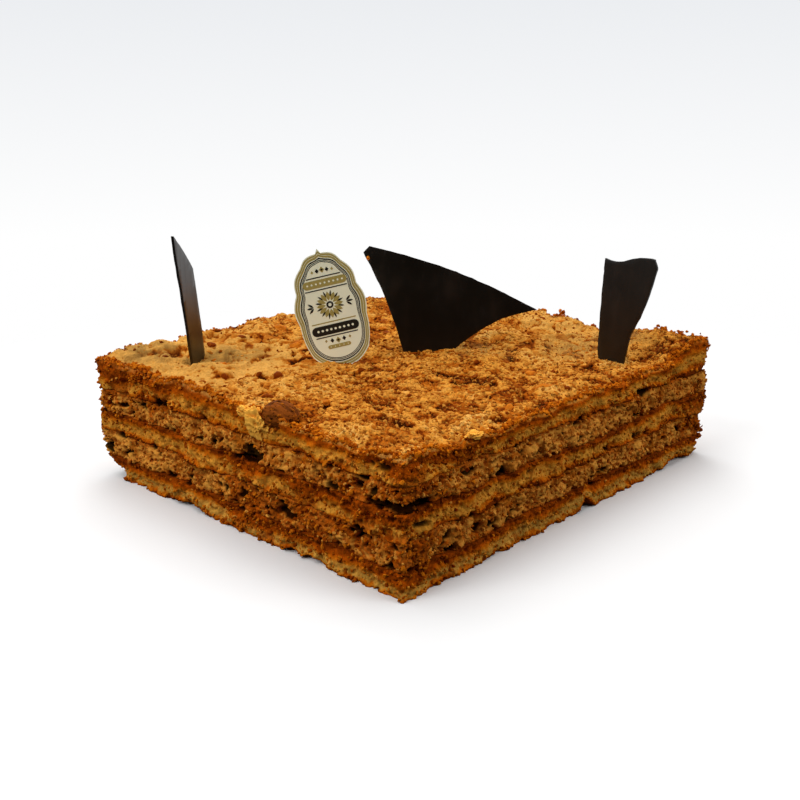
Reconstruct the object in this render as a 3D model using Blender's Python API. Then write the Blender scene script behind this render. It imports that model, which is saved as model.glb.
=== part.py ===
"""A rectangular layer cake: three baked almond meringue layers with two praline creams between them,
cut with a saw knife, so its sides are craggy. In its top stand three shards of dark chocolate and a
small oval plaque, and a whole almond lies at the edge.

Metres, +Z up. The origin is under the middle of the base, +X runs along the longer side, and the
front corner, where the two sides seen first meet, is at -X -Y."""

from math import hypot, pi, radians, sin

import bmesh
import bpy
from mathutils import Matrix, Vector, noise

MM = 0.001

# Driving sizes of the cake
CAKE_LENGTH = 226 * MM
CAKE_WIDTH = 199 * MM
CORNER_RADIUS = 2.5 * MM
GAP = 0.3 * MM

# Heights of the faces between the layers, from the base up
BASE_LEVEL = 0.0
LOWER_CREAM_LEVEL = 11.5 * MM
MIDDLE_SPONGE_LEVEL = 23.3 * MM
UPPER_CREAM_LEVEL = 34.0 * MM
TOP_SPONGE_LEVEL = 45.5 * MM
TOP_LEVEL = 58.0 * MM

# How finely a layer is divided: cells along and across, and rows up its side
CELLS_LONG = 40
CELLS_WIDE = 34
SIDE_ROWS = 3

# Unevenness of the cut sides, of the seams between layers and of the top
CRAG_DEPTH = 1.3 * MM
CRAG_SIZE = 10 * MM
FINE_CRAG_DEPTH = 0.7 * MM
FINE_CRAG_SIZE = 4.5 * MM
SEAM_WAVE = 1.5 * MM
SEAM_WAVE_SIZE = 26 * MM
SWELL_HEIGHT = 1.1 * MM
SWELL_SIZE = 42 * MM
LUMP_HEIGHT = 1.3 * MM
LUMP_SIZE = 13 * MM
CREAM_SET_BACK = 0.5 * MM

# Gain of the noise, so that it fills -1 to 1, and where in the noise each kind of unevenness is taken
NOISE_GAIN = 1.6
FINE_CRAG_SHIFT = 7.3
SEAM_SHIFT = 3.1
SWELL_SHIFT = 5.7
LUMP_SHIFT = 9.2

# The top rises gently towards +Y, and falls at each side over a short width
TOP_RISE = 2.3 * MM
RIM_FALL = {"-x": 1.0 * MM, "+x": 0.6 * MM, "-y": 1.6 * MM, "+y": 0.4 * MM}
RIM_FALL_WIDTH = 15 * MM

# Broad swellings of the top: middle x, y, radius and height
MOUNDS = (
    (-86 * MM, 94 * MM, 16 * MM, 2.6 * MM),
    (-52 * MM, 100 * MM, 22 * MM, 2.8 * MM),
    (-2 * MM, 102 * MM, 40 * MM, 3.2 * MM),
    (-18 * MM, 88 * MM, 30 * MM, 1.6 * MM),
    (104 * MM, 88 * MM, 26 * MM, 2.0 * MM),
    (108 * MM, -66 * MM, 30 * MM, 5.2 * MM),
    (116 * MM, -104 * MM, 40 * MM, 8.6 * MM),
    (112 * MM, -2 * MM, 34 * MM, 4.2 * MM),
    (-92 * MM, 44 * MM, 20 * MM, 1.8 * MM),
    (-96 * MM, -62 * MM, 24 * MM, 2.0 * MM),
    (-112 * MM, -104 * MM, 50 * MM, 2.6 * MM),
    (54 * MM, -24 * MM, 22 * MM, 1.8 * MM),
    (-76 * MM, 62 * MM, 16 * MM, -3.6 * MM),
    (74 * MM, -64 * MM, 15 * MM, -1.6 * MM),
    (34 * MM, -50 * MM, 17 * MM, -1.4 * MM),
    (18 * MM, 24 * MM, 22 * MM, -1.8 * MM),
    (-20 * MM, -102 * MM, 16 * MM, -2.2 * MM),
)

# Torn hollows in the sides: the side, the place along it, the height, half length, half height, depth
HOLLOWS = (
    ("-y", -108 * MM, 37.2 * MM, 17 * MM, 2.3 * MM, 5.0 * MM),
    ("-x", -93 * MM, 37.2 * MM, 20 * MM, 2.3 * MM, 5.0 * MM),
    ("-x", -12 * MM, 37.6 * MM, 8.5 * MM, 4.2 * MM, 5.2 * MM),
    ("-x", -62 * MM, 37.0 * MM, 6 * MM, 2.4 * MM, 3.0 * MM),
    ("-x", 14 * MM, 36.0 * MM, 4 * MM, 2.6 * MM, 3.0 * MM),
    ("-x", -88 * MM, 51.5 * MM, 8 * MM, 3.5 * MM, 3.0 * MM),
    ("-x", -32 * MM, 16.5 * MM, 9 * MM, 2.8 * MM, 3.5 * MM),
    ("-y", -68 * MM, 15.5 * MM, 5 * MM, 3.4 * MM, 4.0 * MM),
    ("-y", -73 * MM, 41.6 * MM, 5 * MM, 2.2 * MM, 3.0 * MM),
    ("-y", -102 * MM, 28.0 * MM, 6 * MM, 2.2 * MM, 3.0 * MM),
    ("-y", 27 * MM, 25.2 * MM, 5 * MM, 2.6 * MM, 3.5 * MM),
    ("-y", 20 * MM, 14.0 * MM, 7 * MM, 2.0 * MM, 3.0 * MM),
    ("+x", 22 * MM, 38.0 * MM, 9 * MM, 2.8 * MM, 3.5 * MM),
    ("+x", -48 * MM, 16.0 * MM, 7 * MM, 2.6 * MM, 3.0 * MM),
    ("+y", -40 * MM, 39.0 * MM, 8 * MM, 2.6 * MM, 3.5 * MM),
    ("+y", 52 * MM, 16.5 * MM, 9 * MM, 2.8 * MM, 3.5 * MM),
    ("-x", 98 * MM, 0.0 * MM, 16 * MM, 9.0 * MM, 6.0 * MM),
    ("+y", -112 * MM, 0.0 * MM, 14 * MM, 9.0 * MM, 6.0 * MM),
)

# Where the bottom edge is broken away: the side, the place along it, half length and height
CHIPS = (
    ("-y", 9 * MM, 8 * MM, 5.0 * MM),
    ("-y", 91 * MM, 17 * MM, 4.0 * MM),
    ("-x", 34 * MM, 18 * MM, 2.2 * MM),
    ("-x", -36 * MM, 6 * MM, 2.5 * MM),
    ("-x", -48 * MM, 8 * MM, 2.8 * MM),
    ("+x", -20 * MM, 12 * MM, 3.0 * MM),
    ("+x", 66 * MM, 9 * MM, 2.5 * MM),
    ("+y", 20 * MM, 14 * MM, 2.8 * MM),
    ("+y", -74 * MM, 9 * MM, 3.2 * MM),
)

# Corners where the sides stand out: x, y, radius, and how far, which is reached at a height
FLARES = (
    (-113 * MM, 99 * MM, 20 * MM, 3.0 * MM),
    (113 * MM, -99 * MM, 20 * MM, 2.4 * MM),
    (113 * MM, 99 * MM, 16 * MM, 1.2 * MM),
)
FLARE_FULL_HEIGHT = 26 * MM

# The almond at the edge of the top
ALMOND_LENGTH = 18.5 * MM
ALMOND_WIDTH = 13.5 * MM
ALMOND_THICKNESS = 12.5 * MM
ALMOND_PLACE = Vector((-107.6 * MM, -26.6 * MM, 56.6 * MM))
ALMOND_TURN = radians(96)
ALMOND_TILT = 4
ALMOND_TAPER = -0.08
ALMOND_BLUNTNESS = 0.12
ALMOND_SEGMENTS = 16
ALMOND_RINGS = 10

# Pieces of almond that show in the top: x, y, length, width, turn in degrees
ALMOND_BITS = (
    (-16.6 * MM, 79.8 * MM, 8.5 * MM, 5.5 * MM, -47),
    (-5.6 * MM, 85.1 * MM, 4.5 * MM, 3.5 * MM, -20),
    (-32.3 * MM, 49.4 * MM, 6.5 * MM, 5.0 * MM, -60),
    (-77.8 * MM, 42.6 * MM, 7.5 * MM, 5.0 * MM, -47),
    (-73.5 * MM, 15.3 * MM, 6.0 * MM, 4.5 * MM, 60),
    (101.5 * MM, -19.2 * MM, 7.5 * MM, 5.0 * MM, -47),
    (18.0 * MM, -60.1 * MM, 5.4 * MM, 5.0 * MM, 0),
    (-0.8 * MM, -81.7 * MM, 9.0 * MM, 5.0 * MM, -47),
    (-34.1 * MM, -87.5 * MM, 5.5 * MM, 4.0 * MM, 30),
    (35.3 * MM, 51.8 * MM, 7.0 * MM, 5.0 * MM, 55),
    (84.0 * MM, 82.0 * MM, 7.0 * MM, 5.0 * MM, 55),
)
BIT_THICKNESS = 3.6 * MM
BIT_STANDS_OUT = 0.7 * MM

# How rough the chips are, and the size of their bumps over the size of the chip
CHIP_ROUGHNESS = 0.35
CHIP_BUMP_SIZE = 0.45

# A pale lump of crumb that bulges from the side beside the almond
CRUMB_PLACE = Vector((-112.6 * MM, -15.0 * MM, 54.4 * MM))
CRUMB_SIZE = Vector((6.0 * MM, 13.0 * MM, 10.0 * MM))
CRUMB_SHIFT = 4.4

# Chocolate shards. Place of the foot on the top, direction of the width, lean away from the side
# that faces -X -Y, bend over 10 mm of width, outline as corners in mm (across, up, bulge of the edge
# that follows)
SHARD_THICKNESS = 1.3 * MM
SLOT_ROOM = 0.4 * MM
ARC_STEPS = 6
BEND_WIDTH = 10 * MM
LEFT_SHARD = {
    "foot": (-81.7 * MM, 65.5 * MM, 56.0 * MM),
    "turn": 32.2,
    "lean": 0.0,
    "bend": 0.16 * MM,
    "corners": (
        (-22.3, 65.5, 0.9), (0.4, 47.0, 0.5), (9.0, 3.0, 0), (8.4, -9.0, 0), (-6.0, -9.0, 0),
        (-7.0, 3.0, -0.8), (-20.4, 56.0, 0),
    ),
}
CENTRE_SHARD = {
    "foot": (9.3 * MM, -1.0 * MM, 57.0 * MM),
    "turn": -48.4,
    "lean": 10.0,
    "bend": 0.0,
    "corners": (
        (-31.0, 49.5, 0), (-28.0, 52.5, 3.4), (55.5, 21.5, -3.4), (15.5, 2.0, -0.6), (11.5, -9.0, 0),
        (-8.5, -9.0, 0), (-11.8, 3.0, -1.5),
    ),
}
RIGHT_SHARD = {
    "foot": (63.5 * MM, -76.4 * MM, 56.4 * MM),
    "turn": -88.7,
    "lean": 4.0,
    "bend": 0.22 * MM,
    "corners": (
        (-9.1, 48.6, -0.7), (1.5, 48.4, 1.0), (17.6, 51.0, 0.3), (19.5, 46.4, 1.3), (8.6, 13.5, 0.2),
        (4.6, -9.0, 0), (-6.4, -9.0, 0), (-8.6, 4.0, 0.2),
    ),
}

# The plaque: an upright oval with lobed sides. Its right half as corners and bulges, from the top
PLAQUE_THICKNESS = 0.9 * MM
PLAQUE = {
    "foot": (-35.5 * MM, 13.3 * MM, 57.0 * MM),
    "turn": -43.7,
    "lean": 5.0,
    "bend": 0.0,
}
PLAQUE_MIDDLE = (-4.9, 29.4)
PLAQUE_TILT = 12.5
PLAQUE_HALF = (
    (0.0, 26.4, 0), (1.3, 24.2, 1.7), (9.8, 19.0, 1.8), (14.6, 7.0, 1.8), (16.2, -8.0, 0.9),
    (13.6, -24.0, 2.0), (0.0, -31.5, 0),
)

# Base colour and roughness of each thing
SPONGE = ((0.58, 0.31, 0.10), 0.85)
TOP_SPONGE = ((0.66, 0.38, 0.13), 0.85)
CREAM = ((0.42, 0.23, 0.12), 0.6)
CHOCOLATE = ((0.022, 0.012, 0.007), 0.25)
ALMOND = ((0.20, 0.075, 0.03), 0.5)
PLAQUE_CARD = ((0.75, 0.70, 0.52), 0.4)


def clear_scene():
    for thing in list(bpy.data.objects):
        bpy.data.objects.remove(thing)


def material(name, look):
    colour, roughness = look
    made = bpy.data.materials.new(name)
    made.use_nodes = True
    shader = made.node_tree.nodes["Principled BSDF"]
    shader.inputs["Base Color"].default_value = (*colour, 1)
    shader.inputs["Roughness"].default_value = roughness
    shader.inputs["Metallic"].default_value = 0
    return made


def add_object(name, bm, look):
    bmesh.ops.recalc_face_normals(bm, faces=bm.faces)
    if bm.calc_volume(signed=True) < 0:
        bmesh.ops.reverse_faces(bm, faces=bm.faces)
    mesh = bpy.data.meshes.new(name)
    bm.to_mesh(mesh)
    bm.free()
    thing = bpy.data.objects.new(name, mesh)
    bpy.context.scene.collection.objects.link(thing)
    mesh.materials.append(material(name, look))
    return thing


def wave(x, y, z, size, shift=0.0):
    """Smooth noise of about -1 to 1 whose bumps are about size across."""
    return NOISE_GAIN * noise.noise(Vector((x / size + shift, y / size - shift, z / size + 2 * shift)))


def bump(distance):
    """1 in the middle, falling smoothly to 0 at a distance of 1."""
    return (1 - distance * distance) ** 2 if distance < 1 else 0.0


def rounded(x, y):
    """A point of the cake's outline or inside it, with the outline's corners rounded."""
    inner_x = CAKE_LENGTH / 2 - CORNER_RADIUS
    inner_y = CAKE_WIDTH / 2 - CORNER_RADIUS
    near = Vector((max(-inner_x, min(inner_x, x)), max(-inner_y, min(inner_y, y))))
    out = Vector((x, y)) - near
    if out.length > CORNER_RADIUS:
        out.length = CORNER_RADIUS
    return near + out


def outward(x, y):
    """The direction out of the cake at a point of its outline."""
    inner_x = CAKE_LENGTH / 2 - CORNER_RADIUS
    inner_y = CAKE_WIDTH / 2 - CORNER_RADIUS
    out = Vector((x - max(-inner_x, min(inner_x, x)), y - max(-inner_y, min(inner_y, y))))
    return out.normalized()


def place_along(side, x, y):
    """How far along a side a point of the outline lies, or None where it isn't on that side."""
    across, along, edge = (x, y, CAKE_LENGTH / 2) if side[1] == "x" else (y, x, CAKE_WIDTH / 2)
    if abs(across - (edge if side[0] == "+" else -edge)) > CORNER_RADIUS:
        return None
    return along


def hollow_depth(x, y, z):
    """How deep the torn hollows are at a point of a side."""
    deepest = 0.0
    for side, middle, height, half_length, half_height, depth in HOLLOWS:
        along = place_along(side, x, y)
        if along is not None:
            distance = hypot((along - middle) / half_length, (z - height) / half_height)
            deepest = max(deepest, depth * bump(distance))
    return deepest


def flare(x, y, z):
    """How far the corners stand out at a point of a side, which is nothing at the base."""
    total = sum(out * bump(hypot(x - cx, y - cy) / radius) for cx, cy, radius, out in FLARES)
    return total * min(1.0, z / FLARE_FULL_HEIGHT)


def crag(x, y, z):
    """How far the cut side stands out of the cake's outline at a point."""
    rough = CRAG_DEPTH * wave(x, y, z, CRAG_SIZE)
    rough += FINE_CRAG_DEPTH * wave(x, y, z, FINE_CRAG_SIZE, FINE_CRAG_SHIFT)
    return max(-2 * CRAG_DEPTH, min(CRAG_DEPTH, rough)) + flare(x, y, z) - hollow_depth(x, y, z)


def seam(level, x, y):
    """Height at the cake's side of the seam that lies at a level, which waves up and down."""
    return level + SEAM_WAVE * wave(x, y, level, SEAM_WAVE_SIZE, SEAM_SHIFT)


def base_chip(x, y):
    """How far the bottom edge is broken away upwards."""
    broken = 0.0
    for side, middle, half_length, height in CHIPS:
        along = place_along(side, x, y)
        if along is not None:
            broken = max(broken, height * bump(abs(along - middle) / half_length))
    return broken


def rim_fall(x, y):
    """How far the top has fallen towards the sides at a point."""
    from_side = {
        "-x": CAKE_LENGTH / 2 + x, "+x": CAKE_LENGTH / 2 - x,
        "-y": CAKE_WIDTH / 2 + y, "+y": CAKE_WIDTH / 2 - y,
    }
    return sum(RIM_FALL[side] * max(0.0, 1 - far / RIM_FALL_WIDTH) ** 2 for side, far in from_side.items())


def top_height(x, y):
    """Height of the baked top, with its swells, lumps and named mounds and dips."""
    height = TOP_LEVEL + TOP_RISE * y / (CAKE_WIDTH / 2)
    height += SWELL_HEIGHT * wave(x, y, 0, SWELL_SIZE, SWELL_SHIFT)
    height += LUMP_HEIGHT * wave(x, y, 0, LUMP_SIZE, LUMP_SHIFT)
    for mound_x, mound_y, radius, rise in MOUNDS:
        height += rise * bump(hypot(x - mound_x, y - mound_y) / radius)
    return height - rim_fall(x, y)


def slab_cells():
    """A block one cell grid wide and SIDE_ROWS high, whose corners run from -1 to 1 and 0 to 1."""
    bm = bmesh.new()
    bmesh.ops.create_grid(bm, x_segments=CELLS_LONG, y_segments=CELLS_WIDE, size=1)
    base_faces = bm.faces[:]
    made = bmesh.ops.extrude_face_region(bm, geom=base_faces, use_keep_orig=True)
    raised = [part for part in made["geom"] if isinstance(part, bmesh.types.BMVert)]
    bmesh.ops.translate(bm, verts=raised, vec=(0, 0, 1))
    uprights = [e for e in bm.edges if abs(e.verts[0].co.z - e.verts[1].co.z) > 0.5]
    bmesh.ops.subdivide_edges(bm, edges=uprights, cuts=SIDE_ROWS - 1, use_grid_fill=True)
    return bm


def on_rim(point):
    return max(abs(point.x), abs(point.y)) > 1 - 1e-4


def merge_flat_middle(bm, at_top):
    """Turns the cells of the bottom or the top that don't touch the rim into one face."""
    height = 1.0 if at_top else 0.0
    inner = [
        face for face in bm.faces
        if all(abs(v.co.z - height) < 1e-4 for v in face.verts) and not any(on_rim(v.co) for v in face.verts)
    ]
    bmesh.ops.dissolve_faces(bm, faces=inner, use_verts=True)


def shape_layer(bm, lower, upper, set_back):
    """Moves the block's corners to the layer's true shape. lower and upper give the height of its
    faces from x, y and whether the point is on the rim."""
    for vert in bm.verts:
        rim = on_rim(vert.co)
        x, y = rounded(vert.co.x * CAKE_LENGTH / 2, vert.co.y * CAKE_WIDTH / 2)
        low, high = lower(x, y, rim), upper(x, y, rim)
        z = low + (high - low) * vert.co.z
        if rim:
            out = outward(x, y)
            stands = crag(x, y, z) - set_back
            x += out.x * stands
            y += out.y * stands
        vert.co = (x, y, z)


def seam_face(level, side_of_gap):
    """The height of a layer's face at a seam: flat inside the cake, waving at the rim."""
    return lambda x, y, rim: (seam(level, x, y) if rim else level) + side_of_gap * GAP / 2


def base_face(x, y, rim):
    return base_chip(x, y) if rim else BASE_LEVEL


def baked_top(x, y, rim):
    return top_height(x, y)


def make_layer(name, look, lower, upper, set_back=0.0, detailed_top=False):
    bm = slab_cells()
    merge_flat_middle(bm, at_top=False)
    if not detailed_top:
        merge_flat_middle(bm, at_top=True)
    shape_layer(bm, lower, upper, set_back)
    return add_object(name, bm, look)


def arc(start, end, bulge):
    """Points from start up to, and without, end, along an arc that swells by bulge to the left."""
    steps = ARC_STEPS if bulge else 1
    run = end - start
    left = Vector((-run.y, run.x)).normalized()
    return [start + run * k / steps + left * bulge * sin(pi * k / steps) for k in range(steps)]


def outline_from(corners):
    points = []
    for k, (across, up, bulge) in enumerate(corners):
        following = corners[(k + 1) % len(corners)]
        points += arc(Vector((across, up)), Vector(following[:2]), bulge)
    return [point * MM for point in points]


def plate_frame(stance):
    """Matrix from a plate's own frame (across, up, thickness) to the cake's."""
    turn = Matrix.Rotation(radians(stance["turn"]), 4, "Z")
    lean = Matrix.Rotation(radians(90 - stance["lean"]), 4, "X")
    return Matrix.Translation(stance["foot"]) @ turn @ lean


def plate_mesh(outline, thickness, bend=0.0, grow=0.0):
    """A thin plate with an outline, bent a little about its upright and grown all round."""
    bm = bmesh.new()
    verts = [bm.verts.new((point.x, point.y, -thickness / 2)) for point in outline]
    face = bm.faces.new(verts)
    made = bmesh.ops.extrude_face_region(bm, geom=[face], use_keep_orig=True)
    raised = [part for part in made["geom"] if isinstance(part, bmesh.types.BMVert)]
    bmesh.ops.translate(bm, verts=raised, vec=(0, 0, thickness))
    bmesh.ops.recalc_face_normals(bm, faces=bm.faces)
    bm.normal_update()
    moves = [(vert, vert.normal * vert.calc_shell_factor() * grow) for vert in bm.verts]
    for vert, move in moves:
        vert.co += move
        vert.co.z += bend * (vert.co.x / BEND_WIDTH) ** 2
    bmesh.ops.triangulate(bm, faces=bm.faces)
    return bm


def cutter(name, bm, matrix):
    """A solid that only cuts others."""
    bm.transform(matrix)
    thing = add_object(name, bm, CHOCOLATE)
    thing.hide_render = True
    thing.display_type = "WIRE"
    return thing


def add_plate(name, look, outline, thickness, stance):
    """A plate in its place, and the cutter for the slot that its foot stands in."""
    bm = plate_mesh(outline, thickness, stance["bend"])
    bm.transform(plate_frame(stance))
    add_object(name, bm, look)
    slot = plate_mesh(outline, thickness, stance["bend"], SLOT_ROOM)
    return cutter(name + "_slot", slot, plate_frame(stance))


def plaque_outline():
    """The plaque's outline: its right half and the mirror image, tilted in its own plane."""
    right = outline_from(PLAQUE_HALF)[: -1]
    right.append(Vector(PLAQUE_HALF[-1][:2]) * MM)
    left = [Vector((-point.x, point.y)) for point in right[1:-1]]
    tilt = Matrix.Rotation(radians(PLAQUE_TILT), 2)
    middle = Vector(PLAQUE_MIDDLE) * MM
    return [middle + tilt @ point for point in right + left[::-1]]


def almond_mesh(grow=0.0):
    bm = bmesh.new()
    bmesh.ops.create_uvsphere(bm, u_segments=ALMOND_SEGMENTS, v_segments=ALMOND_RINGS, radius=1)
    for vert in bm.verts:
        along = vert.co.z
        slim = 1 - ALMOND_TAPER * along - ALMOND_BLUNTNESS * along * along
        vert.co = (
            along * (ALMOND_LENGTH / 2 + grow),
            vert.co.x * (ALMOND_WIDTH / 2 * slim + grow),
            vert.co.y * (ALMOND_THICKNESS / 2 * slim + grow),
        )
    place = Matrix.Translation(ALMOND_PLACE) @ Matrix.Rotation(ALMOND_TURN, 4, "Z")
    bm.transform(place @ Matrix.Rotation(radians(-ALMOND_TILT), 4, "Y"))
    return bm


def bit_mesh(size, place, turn, subdivisions, shift):
    """A rough chip of the given size. shift picks its roughness."""
    bm = bmesh.new()
    bmesh.ops.create_icosphere(bm, subdivisions=subdivisions, radius=0.5)
    for vert in bm.verts:
        vert.co *= 1 + CHIP_ROUGHNESS * wave(*vert.co, CHIP_BUMP_SIZE, shift)
    bm.transform(Matrix.Translation(place) @ Matrix.Rotation(turn, 4, "Z") @ Matrix.Diagonal((*size, 1)))
    return bm


def toppings():
    """Chips that are fused to the top layer: pieces of almond and the pale lump of crumb."""
    made = []
    for k, (x, y, length, width, turn) in enumerate(ALMOND_BITS):
        place = Vector((x, y, top_height(x, y) + BIT_STANDS_OUT - BIT_THICKNESS / 2))
        bm = bit_mesh((length, width, BIT_THICKNESS), place, radians(turn), 1, shift=k)
        made.append(add_object(f"bit_{k}", bm, TOP_SPONGE))
    crumb = bit_mesh(CRUMB_SIZE, CRUMB_PLACE, 0.0, 2, CRUMB_SHIFT)
    made.append(add_object("crumb_lump", crumb, TOP_SPONGE))
    return made


def gather(name, things):
    group = bpy.data.collections.new(name)
    bpy.context.scene.collection.children.link(group)
    for thing in things:
        bpy.context.scene.collection.objects.unlink(thing)
        group.objects.link(thing)
    return group


def apply_modifiers(thing):
    """Replaces an object's mesh by what its modifiers make of it."""
    graph = bpy.context.evaluated_depsgraph_get()
    finished = bpy.data.meshes.new_from_object(thing.evaluated_get(graph))
    thing.modifiers.clear()
    thing.data = finished


def boolean(thing, operation, group):
    step = thing.modifiers.new(operation.lower(), "BOOLEAN")
    step.operation = operation
    step.operand_type = "COLLECTION"
    step.collection = group
    step.solver = "EXACT"
    return step


def main():
    clear_scene()
    make_layer("sponge_bottom", SPONGE, base_face, seam_face(LOWER_CREAM_LEVEL, -1))
    make_layer(
        "cream_lower", CREAM,
        seam_face(LOWER_CREAM_LEVEL, 1), seam_face(MIDDLE_SPONGE_LEVEL, -1), CREAM_SET_BACK,
    )
    make_layer(
        "sponge_middle", SPONGE,
        seam_face(MIDDLE_SPONGE_LEVEL, 1), seam_face(UPPER_CREAM_LEVEL, -1),
    )
    make_layer(
        "cream_upper", CREAM,
        seam_face(UPPER_CREAM_LEVEL, 1), seam_face(TOP_SPONGE_LEVEL, -1), CREAM_SET_BACK,
    )
    top = make_layer(
        "sponge_top", TOP_SPONGE, seam_face(TOP_SPONGE_LEVEL, 1), baked_top, detailed_top=True,
    )

    fused = gather("toppings", toppings())
    boolean(top, "UNION", fused)
    apply_modifiers(top)
    for thing in list(fused.objects):
        bpy.data.objects.remove(thing)

    shards = {"shard_left": LEFT_SHARD, "shard_centre": CENTRE_SHARD, "shard_right": RIGHT_SHARD}
    slots = [
        add_plate(name, CHOCOLATE, outline_from(stance["corners"]), SHARD_THICKNESS, stance)
        for name, stance in shards.items()
    ]
    slots.append(add_plate("plaque", PLAQUE_CARD, plaque_outline(), PLAQUE_THICKNESS, PLAQUE))
    slots.append(cutter("almond_seat", almond_mesh(SLOT_ROOM), Matrix.Identity(4)))
    add_object("almond", almond_mesh(), ALMOND)
    boolean(top, "DIFFERENCE", gather("slots", slots))


main()
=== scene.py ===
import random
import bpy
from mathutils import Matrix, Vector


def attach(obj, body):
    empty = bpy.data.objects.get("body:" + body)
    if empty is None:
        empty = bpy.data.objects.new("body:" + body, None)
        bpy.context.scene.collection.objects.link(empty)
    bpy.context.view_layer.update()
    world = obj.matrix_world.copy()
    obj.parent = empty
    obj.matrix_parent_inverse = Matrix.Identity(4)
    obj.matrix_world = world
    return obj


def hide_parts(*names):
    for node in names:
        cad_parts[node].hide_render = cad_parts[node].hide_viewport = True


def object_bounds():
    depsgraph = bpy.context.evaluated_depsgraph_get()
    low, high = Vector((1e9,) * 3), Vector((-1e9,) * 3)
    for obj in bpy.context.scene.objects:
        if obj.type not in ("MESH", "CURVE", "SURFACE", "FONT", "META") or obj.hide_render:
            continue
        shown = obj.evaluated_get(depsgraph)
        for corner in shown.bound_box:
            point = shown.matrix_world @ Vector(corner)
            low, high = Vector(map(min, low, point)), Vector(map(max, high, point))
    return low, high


bl_info = {
    "name": "Layered almond meringue cake",
    "version": (1, 0, 0),
    "blender": (4, 5, 0),
    "location": "3D View > Sidebar > Cake",
    "description": "Bakes, fills and decorates a square-cut almond meringue cake around its packed model",
    "category": "Add Mesh",
}

from math import cos, exp, hypot, pi, radians, sin

import bmesh
import bpy
import numpy as np
from mathutils import Matrix, Vector, noise

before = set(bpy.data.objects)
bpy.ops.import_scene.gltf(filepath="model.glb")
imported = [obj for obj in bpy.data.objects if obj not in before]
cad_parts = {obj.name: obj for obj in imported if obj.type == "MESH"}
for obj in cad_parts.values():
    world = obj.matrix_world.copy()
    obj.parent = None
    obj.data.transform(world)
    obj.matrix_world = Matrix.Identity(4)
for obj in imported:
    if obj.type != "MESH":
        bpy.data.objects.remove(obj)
CAD_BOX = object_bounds()

MM = 0.001
BODY = "root"


def in_metres(value):
    """Millimetres as metres: a number, or a table of them in which names stay as they are."""
    if isinstance(value, str):
        return value
    if isinstance(value, (int, float)):
        return value * MM
    return tuple(in_metres(part) for part in value)


# Sizes and colours that a user would change

def length(name, description, default):
    return bpy.props.FloatProperty(
        name=name, description=description, default=default, unit="LENGTH", subtype="DISTANCE", precision=5,
    )


def number(name, description, default):
    return bpy.props.FloatProperty(name=name, description=description, default=default)


def angle(name, description, degrees):
    return bpy.props.FloatProperty(
        name=name, description=description, default=radians(degrees), unit="ROTATION", subtype="ANGLE",
    )


def linear(channel):
    channel /= 255
    return channel / 12.92 if channel <= 0.04045 else ((channel + 0.055) / 1.055) ** 2.4


def colour(name, description, red, green, blue):
    """A colour property whose default is given in display values of 0 to 255."""
    return bpy.props.FloatVectorProperty(
        name=name, description=description, subtype="COLOR", size=3, min=0, max=1,
        default=(linear(red), linear(green), linear(blue)),
    )


class CakeSizes(bpy.types.PropertyGroup):
    """Sizes of the cake and of its relief"""

    cake_length: length("Length", "Along the longer side", 226 * MM)
    cake_width: length("Width", "Along the shorter side", 199 * MM)
    corner_radius: length("Corner radius", "Rounding of the upright corners", 2.5 * MM)
    gap: length("Gap", "Room between neighbouring layers", 0.3 * MM)
    lower_cream: length("Lower cream", "Height where the lower cream starts", 11.5 * MM)
    middle_sponge: length("Middle sponge", "Height where the middle sponge starts", 23.3 * MM)
    upper_cream: length("Upper cream", "Height where the upper cream starts", 34.0 * MM)
    top_sponge: length("Top sponge", "Height where the top sponge starts", 45.5 * MM)
    top: length("Top", "Height of the baked top", 58.0 * MM)
    side_cell: length("Side cell", "Size of a mesh cell on the cut sides", 0.46 * MM)
    top_cell: length("Top cell", "Size of a mesh cell on the top", 0.8 * MM)
    crag_depth: length("Crag depth", "Unevenness of the cut sides", 1.3 * MM)
    fine_crag_depth: length("Fine crag depth", "Smaller unevenness of the cut sides", 0.7 * MM)
    seam_wave: length("Seam wave", "How far the seams wave up and down", 1.5 * MM)
    swell_height: length("Swell height", "Height of the broad swells of the top", 1.1 * MM)
    lump_height: length("Lump height", "Height of the lumps of the top", 1.3 * MM)
    top_rise: length("Top rise", "How far the top rises towards +Y", 2.3 * MM)


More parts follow.
